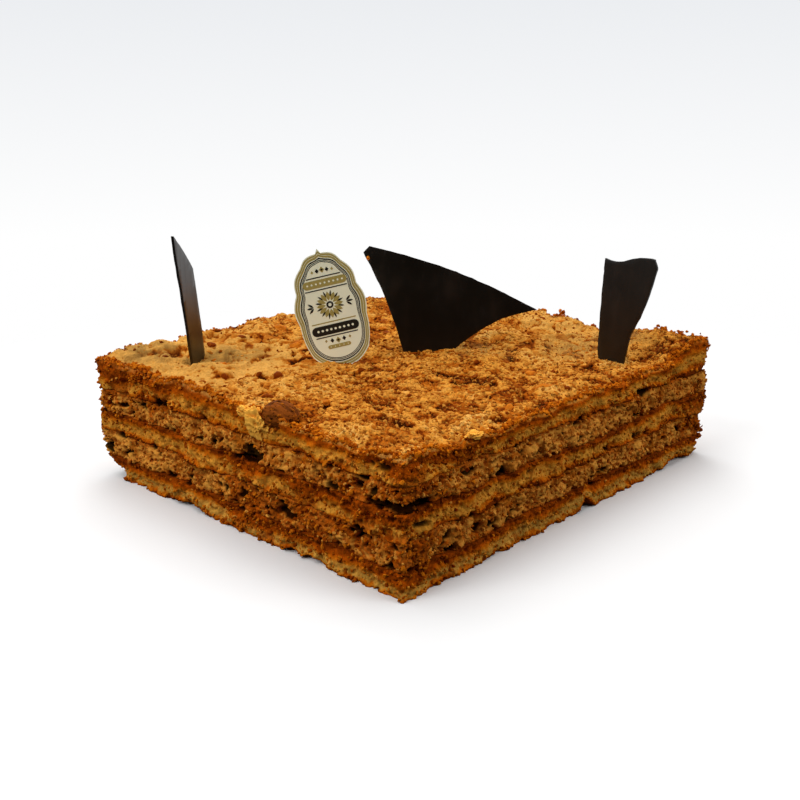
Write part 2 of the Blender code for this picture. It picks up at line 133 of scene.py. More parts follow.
class CakeColours(bpy.types.PropertyGroup):
    """Colours of the cake and of what stands in it"""

    dust: colour("Dust", "Smooth dusty parts of the top", 216, 159, 77)
    powder: colour("Powder", "Powdery high spots of the top", 206, 137, 50)
    baked: colour("Baked top", "Baked top between the high spots", 172, 92, 18)
    # Partly the browned crumb of the top's pits, cracks and crevices, partly painted shade in them; also the
    # dark end of the almond's dust
    pit: colour("Pits", "Pits and cracks of the top", 58, 22, 2)
    # Greyish colour of less baked patches, which by the right shard's foot is also its painted shadow
    stale_and_shadow: colour("Stale patch", "Greyish patches of the top", 146, 108, 54)
    crust: colour("Crust", "Browned crust of a meringue layer", 194, 86, 4)
    crust_dark: colour("Dark crust", "Darkest parts of the crust", 124, 50, 3)
    crumb: colour("Crumb", "Pale crumb inside a meringue layer", 232, 158, 54)
    crumb_warm: colour("Warm crumb", "Crumb next to the crust", 210, 116, 18)
    base_crumb: colour("Base crumb", "Pale crumb of the bottom layer", 214, 156, 64)
    cream: colour("Cream", "Praline cream", 238, 164, 66)
    cream_dark: colour("Dark cream", "Denser parts of the cream", 186, 102, 24)
    # Painted shade: the dark colour that the cut sides take deep inside their pores and hollows
    hollow_shade: colour("Hollows", "Deep inside pores and hollows", 8, 3, 0)
    chocolate: colour("Chocolate", "Dark chocolate", 14, 8, 2)
    bloom: colour("Bloom", "Rubbed streaks of the chocolate", 46, 34, 24)
    almond_skin: colour("Almond skin", "Brown skin of the whole almond", 142, 72, 20)
    almond_bit: colour("Almond bits", "Baked pieces of almond", 206, 116, 26)
    pale_lump: colour("Pale lump", "Pale lump of crumb at the edge", 255, 186, 74)
    plaque_rim: colour("Plaque rim", "Rim and lines of the plaque", 248, 254, 226)
    plaque_gold: colour("Plaque gold", "Gold bands and motifs of the plaque", 170, 156, 86)
    plaque_ink: colour("Plaque ink", "Dark lines and bars of the plaque", 26, 26, 20)
    plaque_field: colour("Plaque field", "Pale field of the plaque", 250, 255, 226)


class StageLook(bpy.types.PropertyGroup):
    """The floor, the lights and the camera"""

    floor_colour: colour("Floor", "Plain pale floor", 246, 246, 246)
    sky_colour: colour("Backdrop", "Upper part of the backdrop", 236, 238, 241)
    camera_place: bpy.props.FloatVectorProperty(
        name="Camera place", description="Where the camera stands", size=3, subtype="XYZ", unit="LENGTH",
        default=(-377.3 * MM, -344.3 * MM, 191.5 * MM), precision=5,
    )
    camera_yaw: angle("Camera direction", "Direction of view, from +X towards +Y", 43.0)
    camera_pitch: angle("Camera pitch", "How far the camera looks down", 17.18)
    focal_ratio: number("Focal ratio", "Focal length over picture width", 1062 / 800)
    top_light: number("Top light", "Power of the large light above, in watts", 8.0)
    left_light: number("Left light", "Power of the light to the left, in watts", 10.2)
    right_light: number("Right light", "Power of the light to the right, in watts", 7.0)
    back_light: number("Back light", "Power of the light behind, in watts", 4.0)
    back_glow: number("Back glow", "Brightness of the surroundings behind the cake", 1.0)
    front_glow: number("Front glow", "Brightness of the surroundings behind the camera", 0.02)
    floor_fades: length("Floor fades", "Distance at which the floor starts to fade", 170 * MM)
    floor_ends: length("Floor ends", "Distance at which the floor has faded", 400 * MM)


# Large forms of the cake, the same as the solids have. Every table in in_metres is in millimetres.

CRAG_SIZE = 10 * MM
FINE_CRAG_SIZE = 4.5 * MM
SEAM_WAVE_SIZE = 26 * MM
SWELL_SIZE = 42 * MM
LUMP_SIZE = 13 * MM
CREAM_SET_BACK = 0.5 * MM
RIM_FALL = {"-x": 1.0 * MM, "+x": 0.6 * MM, "-y": 1.6 * MM, "+y": 0.4 * MM}
RIM_FALL_WIDTH = 15 * MM

# Broad swellings of the top: middle x, y, radius and height
MOUNDS = in_metres((
    (-86, 94, 16, 2.6),
    (-52, 100, 22, 2.8),
    (-2, 102, 40, 3.2),
    (-18, 88, 30, 1.6),
    (104, 88, 26, 2.0),
    (108, -66, 30, 5.2),
    (116, -104, 40, 8.6),
    (112, -2, 34, 4.2),
    (-92, 44, 20, 1.8),
    (-96, -62, 24, 2.0),
    (-112, -104, 50, 2.6),
    (54, -24, 22, 1.8),
    (-76, 62, 16, -3.6),
    (74, -64, 15, -1.6),
    (34, -50, 17, -1.4),
    (18, 24, 22, -1.8),
    (-20, -102, 16, -2.2),
))

# Torn hollows in the sides: the side, the place along it, the height, half length, half height, depth
HOLLOWS = in_metres((
    ("-y", -108, 37.2, 17, 2.3, 5.0),
    ("-x", -93, 37.2, 20, 2.3, 5.0),
    ("-x", -12, 37.6, 8.5, 4.2, 5.2),
    ("-x", -62, 37.0, 6, 2.4, 3.0),
    ("-x", 14, 36.0, 4, 2.6, 3.0),
    ("-x", -88, 51.5, 8, 3.5, 3.0),
    ("-x", -32, 16.5, 9, 2.8, 3.5),
    ("-y", -68, 15.5, 5, 3.4, 4.0),
    ("-y", -73, 41.6, 5, 2.2, 3.0),
    ("-y", -102, 28.0, 6, 2.2, 3.0),
    ("-y", 27, 25.2, 5, 2.6, 3.5),
    ("-y", 20, 14.0, 7, 2.0, 3.0),
    ("+x", 22, 38.0, 9, 2.8, 3.5),
    ("+x", -48, 16.0, 7, 2.6, 3.0),
    ("+y", -40, 39.0, 8, 2.6, 3.5),
    ("+y", 52, 16.5, 9, 2.8, 3.5),
    ("-x", 98, 0.0, 16, 9.0, 6.0),
    ("+y", -112, 0.0, 14, 9.0, 6.0),
))

# Where the bottom edge is broken away: the side, the place along it, half length and height
CHIPS = in_metres((
    ("-y", 9, 8, 5.0),
    ("-y", 91, 17, 4.0),
    ("-x", 34, 18, 2.2),
    ("-x", -36, 6, 2.5),
    ("-x", -48, 8, 2.8),
    ("+x", -20, 12, 3.0),
    ("+x", 66, 9, 2.5),
    ("+y", 20, 14, 2.8),
    ("+y", -74, 9, 3.2),
))

# Corners where the sides stand out: x, y, radius, and how far, which is reached at a height
FLARES = in_metres((
    (-113, 99, 20, 3.0),
    (113, -99, 20, 2.4),
    (113, 99, 16, 1.2),
))
FLARE_FULL_HEIGHT = 26 * MM

# Relief of a side is carried this far inwards, so that the mesh beside it doesn't fold
SPREAD = 12 * MM

# The browned rim of the top is narrower by this on the two far sides
FAR_RIM_PALER = 2.6 * MM

# The relief is held this far inside the solids' box, and pressed together over a further distance
BOX_ROOM = 0.3 * MM
BOX_GIVE = 1.5 * MM

# Small tears that open mostly at the seams and in the creams
TEARS_PER_SIDE = 72
TEAR_SEED = 11


def wave(x, y, z, size, shift=0.0):
    """Smooth noise of about -1 to 1 whose bumps are about size across."""
    return 1.6 * noise.noise(Vector((x / size + shift, y / size - shift, z / size + 2 * shift)))


def bump(distance):
    """1 in the middle, falling smoothly to 0 at a distance of 1."""
    return (1 - distance * distance) ** 2 if distance < 1 else 0.0


def ramp(value, low, high):
    """0 below low, 1 above high and smooth between them."""
    value = max(0.0, min(1.0, (value - low) / (high - low)))
    return value * value * (3 - 2 * value)


def held_in(value, low, high):
    """A coordinate, pressed softly back where it comes near the ends of a range."""
    for end, out in ((high, 1), (low, -1)):
        over = (value - end) * out + BOX_ROOM + BOX_GIVE
        if over > 0:
            value = end - out * (BOX_ROOM + BOX_GIVE * exp(-over / BOX_GIVE))
    return value


def cells(point, size, shift=0.0):
    """Distance to the nearest middle of a random cell of about the given size, and that middle."""
    distances, middles = noise.voronoi(point / size + Vector((shift, -shift, 2 * shift)))
    return distances[0], middles[0]


class Form:
    """The cake's outline, seams and hollows, worked out from its sizes."""

    def __init__(self, sizes):
        self.sizes = sizes
        self.half_length = sizes.cake_length / 2
        self.half_width = sizes.cake_width / 2
        self.radius = sizes.corner_radius
        self.top = sizes.top
        self.sides = {
            "-x": (Vector((-1, 0)), self.half_length), "+x": (Vector((1, 0)), self.half_length),
            "-y": (Vector((0, -1)), self.half_width), "+y": (Vector((0, 1)), self.half_width),
        }
        self.hollows = {side: [h[1:] for h in HOLLOWS if h[0] == side] for side in self.sides}
        self.add_tears()

    def add_tears(self):
        draw = random.Random(TEAR_SEED)
        sizes = self.sizes
        seams = (sizes.lower_cream, sizes.middle_sponge, sizes.upper_cream, sizes.top_sponge)
        creams = ((sizes.lower_cream, sizes.middle_sponge), (sizes.upper_cream, sizes.top_sponge))
        for side in self.sides:
            reach = self.half_width if side[1] == "x" else self.half_length
            for k in range(TEARS_PER_SIDE):
                if k % 3:
                    height = draw.uniform(*draw.choice(creams))
                else:
                    height = draw.choice(seams) + draw.uniform(-1.2, 1.2) * MM
                half_length = draw.uniform(1.2, 4.6) * MM
                self.hollows[side].append((
                    draw.uniform(-reach, reach), height, half_length,
                    min(half_length * draw.uniform(0.4, 0.8), 2.3 * MM), draw.uniform(1.9, 4.5) * MM,
                ))

    def rounded(self, x, y):
        """A point of the outline or inside it, with the outline's corners rounded."""
        inner_x, inner_y = self.half_length - self.radius, self.half_width - self.radius
        near = Vector((max(-inner_x, min(inner_x, x)), max(-inner_y, min(inner_y, y))))
        out = Vector((x, y)) - near
        if out.length > self.radius:
            out.length = self.radius
        return near + out

    def seam(self, level, x, y):
        """Height at the side of the seam that lies at a level, which waves up and down."""
        return level + self.sizes.seam_wave * wave(x, y, level, SEAM_WAVE_SIZE, 3.1)

    def base_chip(self, x, y):
        """How far the bottom edge is broken away upwards."""
        broken = 0.0
        for side, middle, half_length, height in CHIPS:
            out, edge = self.sides[side]
            if Vector((x, y)).dot(out) > edge - self.radius:
                along = y if side[1] == "x" else x
                broken = max(broken, height * bump(abs(along - middle) / half_length))
        return broken

    def rim_fall(self, x, y):
        """How far the top has fallen towards the sides at a point."""
        point = Vector((x, y))
        return sum(
            RIM_FALL[side] * max(0.0, 1 - (edge - point.dot(out)) / RIM_FALL_WIDTH) ** 2
            for side, (out, edge) in self.sides.items()
        )

    def top_height(self, x, y):
        """Height of the baked top, with its swells, lumps and named mounds and dips."""
        sizes = self.sizes
        height = sizes.top + sizes.top_rise * y / self.half_width
        height += sizes.swell_height * wave(x, y, 0, SWELL_SIZE, 5.7)
        height += sizes.lump_height * wave(x, y, 0, LUMP_SIZE, 9.2)
        for mound_x, mound_y, radius, rise in MOUNDS:
            height += rise * bump(hypot(x - mound_x, y - mound_y) / radius)
        return height - self.rim_fall(x, y)

    def flare(self, x, y, z):
        """How far the corners stand out at a point of a side, which is nothing at the base."""
        total = sum(out * bump(hypot(x - cx, y - cy) / radius) for cx, cy, radius, out in FLARES)
        return total * min(1.0, z / FLARE_FULL_HEIGHT)

    def crag(self, x, y, z):
        """How far the cut side stands out of the outline at a point, apart from its hollows."""
        rough = self.sizes.crag_depth * wave(x, y, z, CRAG_SIZE)
        rough += self.sizes.fine_crag_depth * wave(x, y, z, FINE_CRAG_SIZE, 7.3)
        limit = self.sizes.crag_depth
        return max(-2 * limit, min(limit, rough)) + self.flare(x, y, z)


class Column:
    """What an upright line through the cake has the same all along: its place, the sides near it and
    the hollows that it crosses."""

    def __init__(self, form, x, y):
        self.form = form
        self.x, self.y = form.rounded(x, y)
        here = Vector((self.x, self.y))
        self.from_side = min(
            edge - here.dot(out) + (FAR_RIM_PALER if side[0] == "+" else 0)
            for side, (out, edge) in form.sides.items()
        )
        self.near = []
        for side, (out, edge) in form.sides.items():
            far = edge - here.dot(out)
            if far >= SPREAD:
                continue
            foot = here + out * far
            along = foot.y if side[1] == "x" else foot.x
            crossed = [h for h in form.hollows[side] if abs(along - h[0]) < h[2]]
            self.near.append((out, max(0.0, 1 - far / SPREAD), foot, along, crossed))

    def depth_of_hollows(self, along, crossed, z):
        deepest = 0.0
        ragged = 1 + 0.5 * wave(along, z, 0, 3.2 * MM, 6.4)
        for middle, height, half_length, half_height, depth in crossed:
            distance = hypot((along - middle) / half_length, (z - height) / half_height)
            deepest = max(deepest, depth * bump(distance * ragged))
        return deepest

    def move(self, z, detail):
        """Where the relief of the sides moves this column at a height, and how deep it lies there.
        detail gives how far the fine relief stands out, and how deep its pores are, at a point."""
        x, y = self.x, self.y
        deepest = 0.0
        for out, weight, foot, along, crossed in self.near:
            torn = self.depth_of_hollows(along, crossed, z)
            fine, pore = detail(Vector((foot.x, foot.y, z)))
            stands = self.form.crag(foot.x, foot.y, z) - torn + fine - pore
            x += out.x * stands * weight
            y += out.y * stands * weight
            deepest = max(deepest, (torn + pore) * weight)
        low, high = CAD_BOX
        return held_in(x, low[0], high[0]), held_in(y, low[1], high[1]), deepest


# Fine relief of baked crumb and of cream

def warp(point, size, amount):
    """A point moved about by smooth noise, so that cells around it lose their roundness."""
    return point + Vector((wave(*point, size), wave(*point, size, 2.0), wave(*point, size, 4.0))) * amount


def crumble(point, shift):
    """Craggy unevenness of three sizes, about -1 to 1."""
    coarse = wave(*point, 5 * MM, shift) - abs(wave(*point, 2.6 * MM, shift + 1))
    return 0.45 * coarse + 0.4 * wave(*point, 1.5 * MM, shift + 2) + 0.2


def sponge_relief(low, high, soft_top=False):
    """Relief of the cut sides of a meringue layer between two heights: how far the crumb stands out at a
    point, and how deep its pores are."""
    def relief(point):
        level = (point.z - low) / (high - low)
        lumpy = crumble(point, 1.7)
        stands = 0.9 * MM * lumpy - 0.2 * MM
        edge = ramp(abs(level - 0.5), 0.24, 0.46)
        stands += edge * (0.1 + 0.9 * wave(*point, 7 * MM, 1.1)) * MM - (1 - edge) * 0.4 * MM
        hole, middle = cells(warp(point, 4 * MM, 1.4 * MM), 3.8 * MM, 8.1)
        chosen = noise.cell(middle) < 0.2
        pore = 1.8 * MM * ramp(0.38 - hole, 0.0, 0.24) * (1 - 0.5 * edge) if chosen else 0.0
        pore = max(pore, 0.9 * MM * ramp(-lumpy, 0.2, 0.7))
        if soft_top:
            stands -= 1.4 * MM * ramp(level, 0.78, 1.0) ** 2
        return stands, pore
    return relief


def cream_relief(point):
    """Relief of cut praline cream: soft lumps, dragged along the side by the knife, and many pores."""
    dragged = Vector((point.x * 0.8, point.y * 0.8, point.z * 1.1))
    warped = dragged + warp(point, 6 * MM, 1.6 * MM) - point
    lumpy = crumble(dragged, 5.3)
    stands = 1.1 * MM * lumpy - CREAM_SET_BACK
    hole, middle = cells(warped, 3.4 * MM, 6.6)
    chosen = noise.cell(middle) < 0.5
    pore = 2.1 * MM * ramp(0.4 - hole, 0.0, 0.26) if chosen else 0.0
    return stands, max(pore, 1.2 * MM * ramp(-lumpy, 0.15, 0.6))


# Smooth dusty parts of the top: middle x, y, radius and how dusty the middle is
DUSTY_ZONES = (
    (-78 * MM, 62 * MM, 78 * MM, 1.6),
    (30 * MM, 100 * MM, 52 * MM, 1.6),
    (90 * MM, -28 * MM, 58 * MM, 0.8),
    (60 * MM, -50 * MM, 40 * MM, 0.6),
)

# Named crevices of the top: x, y, radius and depth
CREVICES = in_metres((
    (-45.6, 32.1, 5.0, 2.8),
    (-53.2, -16.1, 4.0, 2.0),
    (-50.0, -21.9, 3.6, 2.2),
    (-83.7, -54.3, 4.6, 2.4),
    (-84.0, -63.6, 4.8, 2.8),
    (-83.8, -69.5, 4.0, 2.4),
    (-83.2, -74.8, 3.8, 2.2),
    (-15.0, -37.5, 6.0, 3.0),
    (-19.9, -49.4, 5.6, 2.6),
    (-64.9, -82.2, 4.0, 1.8),
    (-46.2, -93.2, 4.2, 2.6),
    (30.4, -38.2, 4.4, 1.8),
    (25.9, -67.5, 4.0, 2.0),
    (-80.3, 17.8, 3.0, 1.6),
    (-84.7, 78.1, 5.5, 2.2),
    (-31.0, 41.0, 4.0, 1.8),
    (2.0, -84.0, 3.6, 1.8),
    (50.0, -72.0, 4.4, 2.0),
    (88.0, -52.0, 5.0, 2.0),
    (-79.0, -97.5, 5.0, 3.0),
))


def dustiness(x, y):
    """How smooth and dusty the top is at a point, 0 to 1."""
    return min(1.0, max(most * bump(hypot(x - cx, y - cy) / radius) for cx, cy, radius, most in DUSTY_ZONES))


# Heights and depths of the top's fine relief, and the sizes of its grains and pits
ISLAND_HEIGHT = 0.9 * MM
GRAIN_HEIGHT = 0.8 * MM
LEDGE_HEIGHT = 1.9 * MM
HUMMOCK_HEIGHT = 4 * MM
GROOVE_DEPTH = 0.9 * MM
PIT_DEPTH = 1.5 * MM
GRAIN_SIZE = 2.0 * MM
PIT_SPACING = 5.6 * MM


def crust_relief(x, y):
    """Relief of the baked top: low islands with craggy edges and granular crumb between them, and soft
    ledges where it is dusty. Gives the height, how high a spot it is, from below 0 in a crack up to 1, and
    how dusty it is."""
    def here(size, shift):
        return wave(x, y, 0, size * MM, shift)

    dusty = dustiness(x, y)
    rough = 1 - 0.85 * dusty
    flake = here(9, 2.2) + 0.6 * here(3.8, 6.1) + 0.3 * here(2, 3.1)
    island = ramp(flake, -0.45, 0.35)
    groove = rough * exp(-((flake + 0.32) / 0.12) ** 2) * ramp(here(12, 3.7), -0.4, 0.2)
    point = warp(Vector((x, y, 0)), 4 * MM, 2 * MM)
    point.z = 0
    grain, _ = cells(point, GRAIN_SIZE, 4.4)
    hole, middle = cells(point, PIT_SPACING, 7.7)
    chosen = noise.cell(middle) < 0.01 + 0.04 * rough
    pit = ramp(0.34 - hole + 0.14 * here(1.8, 2.9), 0.0, 0.22) if chosen else 0.0
    ledge = here(15, 1.9) + 0.45 * here(5, 8.3)
    browned = dusty * exp(-((ledge + 0.08) / 0.13) ** 2) * ramp(here(11, 5.9), -0.3, 0.3)
    height = ISLAND_HEIGHT * (island - 0.5) * (0.25 + 0.75 * rough) + GRAIN_HEIGHT * (0.4 - grain) * rough
    height += dusty * (LEDGE_HEIGHT * (ramp(ledge, -0.16, 0.16) - 0.5) + 0.5 * MM * here(7, 2.7))
    height += HUMMOCK_HEIGHT * dusty * (1 - dusty) * here(10, 6.8)
    height += 0.22 * MM * here(1.9, 4.8) - PIT_DEPTH * pit - GROOVE_DEPTH * groove
    # How far a point lies inside the named crevices, used only to paint them darker: painted shade
    crevice_shade = 0.0
    for middle_x, middle_y, radius, depth in CREVICES:
        far = hypot(point.x - middle_x, point.y - middle_y) / radius
        height -= depth * bump(far)
        crevice_shade = max(crevice_shade, bump(0.75 * far))
    high = 1 - (0.8 - 0.8 * island) * (0.3 + 0.7 * rough)
    # Pits, grooves and crevices also lower how high a spot counts, and the top's material paints low spots
    # darker: painted shade in these hollows, partly browned crumb
    high -= pit + groove + 1.3 * crevice_shade + 0.9 * browned
    return height, max(-0.3, min(1.0, high)), dusty


# Mesh helpers

def finish_piece(name, bm, material, node=None):
    """Turns a bmesh into a piece that rides on the cake, and hides the solid of that name, where one is
    given.
    """
    mesh = bpy.data.meshes.new(name)
    bm.to_mesh(mesh)
    bm.free()
    return finish_mesh(name, mesh, material, node)


def finish_mesh(name, mesh, material, node=None):
    """Turns a mesh into such a piece."""
    piece = bpy.data.objects.new(name, mesh)
    bpy.context.scene.collection.objects.link(piece)
    mesh.materials.append(material)
    mesh.shade_smooth()
    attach(piece, BODY)
    if node:
        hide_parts(node)
    return piece


def new_verts(made):
    """The points that an extrusion has made."""
    return [part for part in made["geom"] if isinstance(part, bmesh.types.BMVert)]


def new_face(made):
    """The face that an extrusion has made, where it moved a single one."""
    return next(part for part in made["geom"] if isinstance(part, bmesh.types.BMFace))


def extrude_loop(bm, edges):
    """Extrudes a loop of edges, and gives the new loop's points and edges."""
    made = bmesh.ops.extrude_edge_only(bm, edges=edges)
    verts = new_verts(made)
    fresh = set(verts)
    loop = [e for e in made["geom"] if isinstance(e, bmesh.types.BMEdge) and fresh.issuperset(e.verts)]
    return verts, loop


def cap_inside(bm, edges, inset, level):
    """Closes a loop with a ring that runs inwards and one flat face."""
    verts, loop = extrude_loop(bm, edges)
    bmesh.ops.scale(bm, verts=verts, vec=(1 - inset, 1 - inset, 1))
    for vert in verts:
        vert.co.z = level
    bmesh.ops.edgeloop_fill(bm, edges=loop)


def rectangle_loop(bm, long_cells, wide_cells):
    """A rectangle from -1 to 1, its four edges cut into cells, with nothing inside it."""
    bmesh.ops.create_grid(bm, x_segments=1, y_segments=1, size=1)
    bmesh.ops.delete(bm, geom=bm.faces[:], context="FACES_ONLY")
    edges = bm.edges[:]
    along_x = [e for e in edges if abs(e.verts[0].co.y - e.verts[1].co.y) < 0.5]
    along_y = [e for e in edges if e not in along_x]
    bmesh.ops.bisect_edges(bm, edges=along_x, cuts=long_cells - 1)
    bmesh.ops.bisect_edges(bm, edges=along_y, cuts=wide_cells - 1)
    return bm.edges[:]


def raise_wall(bm, edges, rows, rise):
    """Extrudes a loop upwards, or downwards, row by row."""
    for _ in range(rows):
        verts, edges = extrude_loop(bm, edges)
        bmesh.ops.translate(bm, verts=verts, vec=(0, 0, rise / rows))
    return edges


# A cap's flat middle starts this far inside its edge, as a part of the block's size
CAP_INSET = 0.05

# Height of a row of cells on the top layer's sides, over the size of its cells
TOP_ROW = 0.75


def wall_block(sizes, thickness):
    """A closed block from -1 to 1 and 0 to 1 whose sides are finely divided."""
    bm = bmesh.new()
    cell = sizes.side_cell
    base = rectangle_loop(bm, round(sizes.cake_length / cell), round(sizes.cake_width / cell))
    rim = raise_wall(bm, base, round(thickness / cell), 1)
    cap_inside(bm, base, CAP_INSET, 0)
    cap_inside(bm, rim, CAP_INSET, 1)
    return bm


def top_block(sizes, thickness):
    """A closed block from -1 to 1 and 0 to 1 whose sides and top are finely divided."""
    bm = bmesh.new()
    cell = sizes.top_cell
    bmesh.ops.create_grid(
        bm, x_segments=round(sizes.cake_length / cell), y_segments=round(sizes.cake_width / cell), size=1,
    )
    bmesh.ops.translate(bm, verts=bm.verts[:], vec=(0, 0, 1))
    rim = [edge for edge in bm.edges if edge.is_boundary]
    base = raise_wall(bm, rim, round(thickness / (TOP_ROW * cell)), -1)
    cap_inside(bm, base, CAP_INSET, 0)
    return bm


def seam_face(form, level, side_of_gap):
    """Height of a layer's face at a seam, as a function of the place and of whether it is at the rim."""
    gap = side_of_gap * form.sizes.gap / 2
    return lambda x, y, rim: (form.seam(level, x, y) if rim else level) + gap


# What a layer's points keep: how high in the layer and how deep in a hollow they lie, how high a spot of
# the top and how dusty it is, and how far it is from the nearest side
KEPT = ("level", "depth", "high", "dusty", "inward")


def shape_block(bm, form, lower, upper, relief_for, baked_top):
    """Moves a block's points to the layer's true shape, between two faces that are functions of the place.
    relief_for gives the fine relief of the sides between two heights."""
    layers = [bm.verts.layers.float.new(key) for key in KEPT]
    columns = {}
    for vert in bm.verts:
        key = (round(vert.co.x, 5), round(vert.co.y, 5))
        if key not in columns:
            rim = max(abs(vert.co.x), abs(vert.co.y)) > 1 - 1e-4
            column = Column(form, vert.co.x * form.half_length, vert.co.y * form.half_width)
            low, high = lower(column.x, column.y, rim), upper(column.x, column.y, rim)
            crust = crust_relief(column.x, column.y) if baked_top else (0.0, 0.0, 0.0)
            columns[key] = (column, low, high, crust, relief_for(low, high))
        column, low, high, (lift, spot, dusty), relief = columns[key]
        level = vert.co.z
        z = low + (high - low) * level
        if level > 1 - 1e-4:
            z += lift
        x, y, deep = column.move(z, relief) if column.near else (column.x, column.y, 0.0)
        vert.co = (x, y, z)
        for layer, value in zip(layers, (level, deep / MM, spot, dusty, column.from_side / MM)):
            vert[layer] = value


def add_layer(name, node, material, form, lower, upper, relief_for, baked_top=False):
    """A layer of the cake between a lower and an upper face."""
    thickness = upper(0, 0, False) - lower(0, 0, False)
    bm = (top_block if baked_top else wall_block)(form.sizes, thickness)
    shape_block(bm, form, lower, upper, relief_for, baked_top)
    bmesh.ops.recalc_face_normals(bm, faces=bm.faces)
    return finish_piece(name, bm, material, node)


# Materials

class Value:
    """A number in a material. Python's operators on it add Math nodes."""

    def __init__(self, shader, socket):
        self.shader = shader
        self.socket = socket

    def __add__(self, other):
        return self.shader.math("ADD", self, other)

    def __radd__(self, other):
        return self.shader.math("ADD", other, self)

    def __sub__(self, other):
        return self.shader.math("SUBTRACT", self, other)

    def __rsub__(self, other):
        return self.shader.math("SUBTRACT", other, self)

    def __mul__(self, other):
        return self.shader.math("MULTIPLY", self, other)

    def __rmul__(self, other):
        return self.shader.math("MULTIPLY", other, self)


class Nodes:
    """A node tree, with a method that adds any node and a few for those that are used most."""

    def __init__(self, tree):
        self.tree = tree

    def node(self, kind, settings=None, inputs=None):
        made = self.tree.nodes.new(kind)
        for key, value in (settings or {}).items():
            setattr(made, key, value)
        for key, value in (inputs or {}).items():
            self.feed(made.inputs[key], value)
        return made

    def feed(self, socket, value):
        if isinstance(value, Value):
            value = value.socket
        if isinstance(value, bpy.types.NodeSocket):
            self.tree.links.new(value, socket)
        elif hasattr(value, "__len__") and len(value) == 3 and socket.type == "RGBA":
            socket.default_value = (*value, 1)
        else:
            socket.default_value = value

    def math(self, operation, *values):
        made = self.node("ShaderNodeMath", {"operation": operation}, dict(enumerate(values)))
        return Value(self, made.outputs[0])

    def ramp(self, value, low, high, start=0.0, end=1.0, kind="SMOOTHSTEP"):
        """Runs from start to end while a value runs from low to high."""
        made = self.node("ShaderNodeMapRange", {"interpolation_type": kind}, {
            "Value": value, "From Min": low, "From Max": high, "To Min": start, "To Max": end,
        })
        return Value(self, made.outputs["Result"])

    def blend(self, factor, first, second, mode="MIX"):
        """A mix of two colours, which a Mix node takes as 6 and 7 and gives as 2."""
        made = self.node("ShaderNodeMix", {"data_type": "RGBA", "blend_type": mode}, {
            0: factor, 6: first, 7: second,
        })
        return made.outputs[2]

    def seen_by_camera(self):
        """1 for what the camera sees itself, 0 for the light that a surface gives to others."""
        return Value(self, self.node("ShaderNodeLightPath").outputs["Is Camera Ray"])


class Shader(Nodes):
    """A procedural material on a Principled shader, in object coordinates."""

    def __init__(self, name, roughness, reflection):
        self.material = bpy.data.materials.new(name)
        self.material.use_nodes = True
        super().__init__(self.material.node_tree)
        self.principled = self.tree.nodes["Principled BSDF"]
        self.principled.inputs["Roughness"].default_value = roughness
        self.principled.inputs["Specular IOR Level"].default_value = reflection
        self.place = self.node("ShaderNodeTexCoord").outputs["Object"]

    def highest(self, first, second):
        return self.math("MAXIMUM", first, second)

    def attribute(self, name):
        made = self.node("ShaderNodeAttribute", {"attribute_type": "GEOMETRY", "attribute_name": name})
        return Value(self, made.outputs["Fac"])

    def noise(self, size, detail=2.0, roughness=0.5, distortion=0.0, place=None):
        made = self.node("ShaderNodeTexNoise", None, {
            "Vector": place or self.place, "Scale": 1 / size, "Detail": detail,
            "Roughness": roughness, "Distortion": distortion,
        })
        return Value(self, made.outputs[0])

    def cells(self, size):
        """Random cells of about the given size."""
        return self.node("ShaderNodeTexVoronoi", {"feature": "F1"}, {
            "Vector": self.place, "Scale": 1 / size, "Randomness": 1.0,
        }).outputs

    def spots(self, size):
        """Distance to the middles of random cells."""
        return Value(self, self.cells(size)["Distance"])

    def patches(self, size):
        """A random number for each of many small cells, the same all over a cell."""
        parts = self.node("ShaderNodeSeparateColor", None, {"Color": self.cells(size)["Color"]})
        return Value(self, parts.outputs[0])

    def stretched(self, scale):
        """The place, scaled along each axis, for a pattern that runs along one of them."""
        return self.node("ShaderNodeMapping", None, {"Vector": self.place, "Scale": scale}).outputs[0]

    def near(self, point, radius):
        """1 at a point of the cake, falling to 0 at a radius."""
        far = self.node("ShaderNodeVectorMath", {"operation": "DISTANCE"}, {0: self.place, 1: point})
        return self.ramp(Value(self, far.outputs["Value"]), 0, radius, 1, 0)

    def zone(self, spots):
        """1 at any of several points of the cake, falling to 0 at the radius of each."""
        value = 0.0
        for place, radius in spots:
            value = self.highest(value, self.near(place, radius))
        return value

    def stops(self, value, *stops):
        """A colour that runs through several, each given with the number where it is reached."""
        made = self.node("ShaderNodeValToRGB", None, {"Fac": value})
        ramp = made.color_ramp
        while len(ramp.elements) < len(stops):
            ramp.elements.new(1.0)
        for element, (position, tint) in zip(ramp.elements, stops):
            element.position = position
            element.color = (*tint, 1)
        return made.outputs["Color"]

    def darken(self, tint, amount):
        """A colour multiplied by a number."""
        grey = self.node("ShaderNodeCombineColor", None, {0: amount, 1: amount, 2: amount})
        return self.blend(1.0, tint, grey.outputs[0], "MULTIPLY")

    def finish(self, tint, height=None, height_size=0.3 * MM, strength=0.6, roughness=None):
        self.feed(self.principled.inputs["Base Color"], tint)
        if roughness is not None:
            self.feed(self.principled.inputs["Roughness"], roughness)
        if height is not None:
            made = self.node("ShaderNodeBump", None, {
                "Height": height, "Distance": height_size, "Strength": strength,
            })
            self.feed(self.principled.inputs["Normal"], made.outputs[0])
        return self.material


def crumbly_height(shader):
    """Fine relief of baked crumb, finer than the mesh."""
    return shader.noise(0.9 * MM, 3.0, 0.7) + 0.6 * (1 - shader.spots(0.8 * MM))


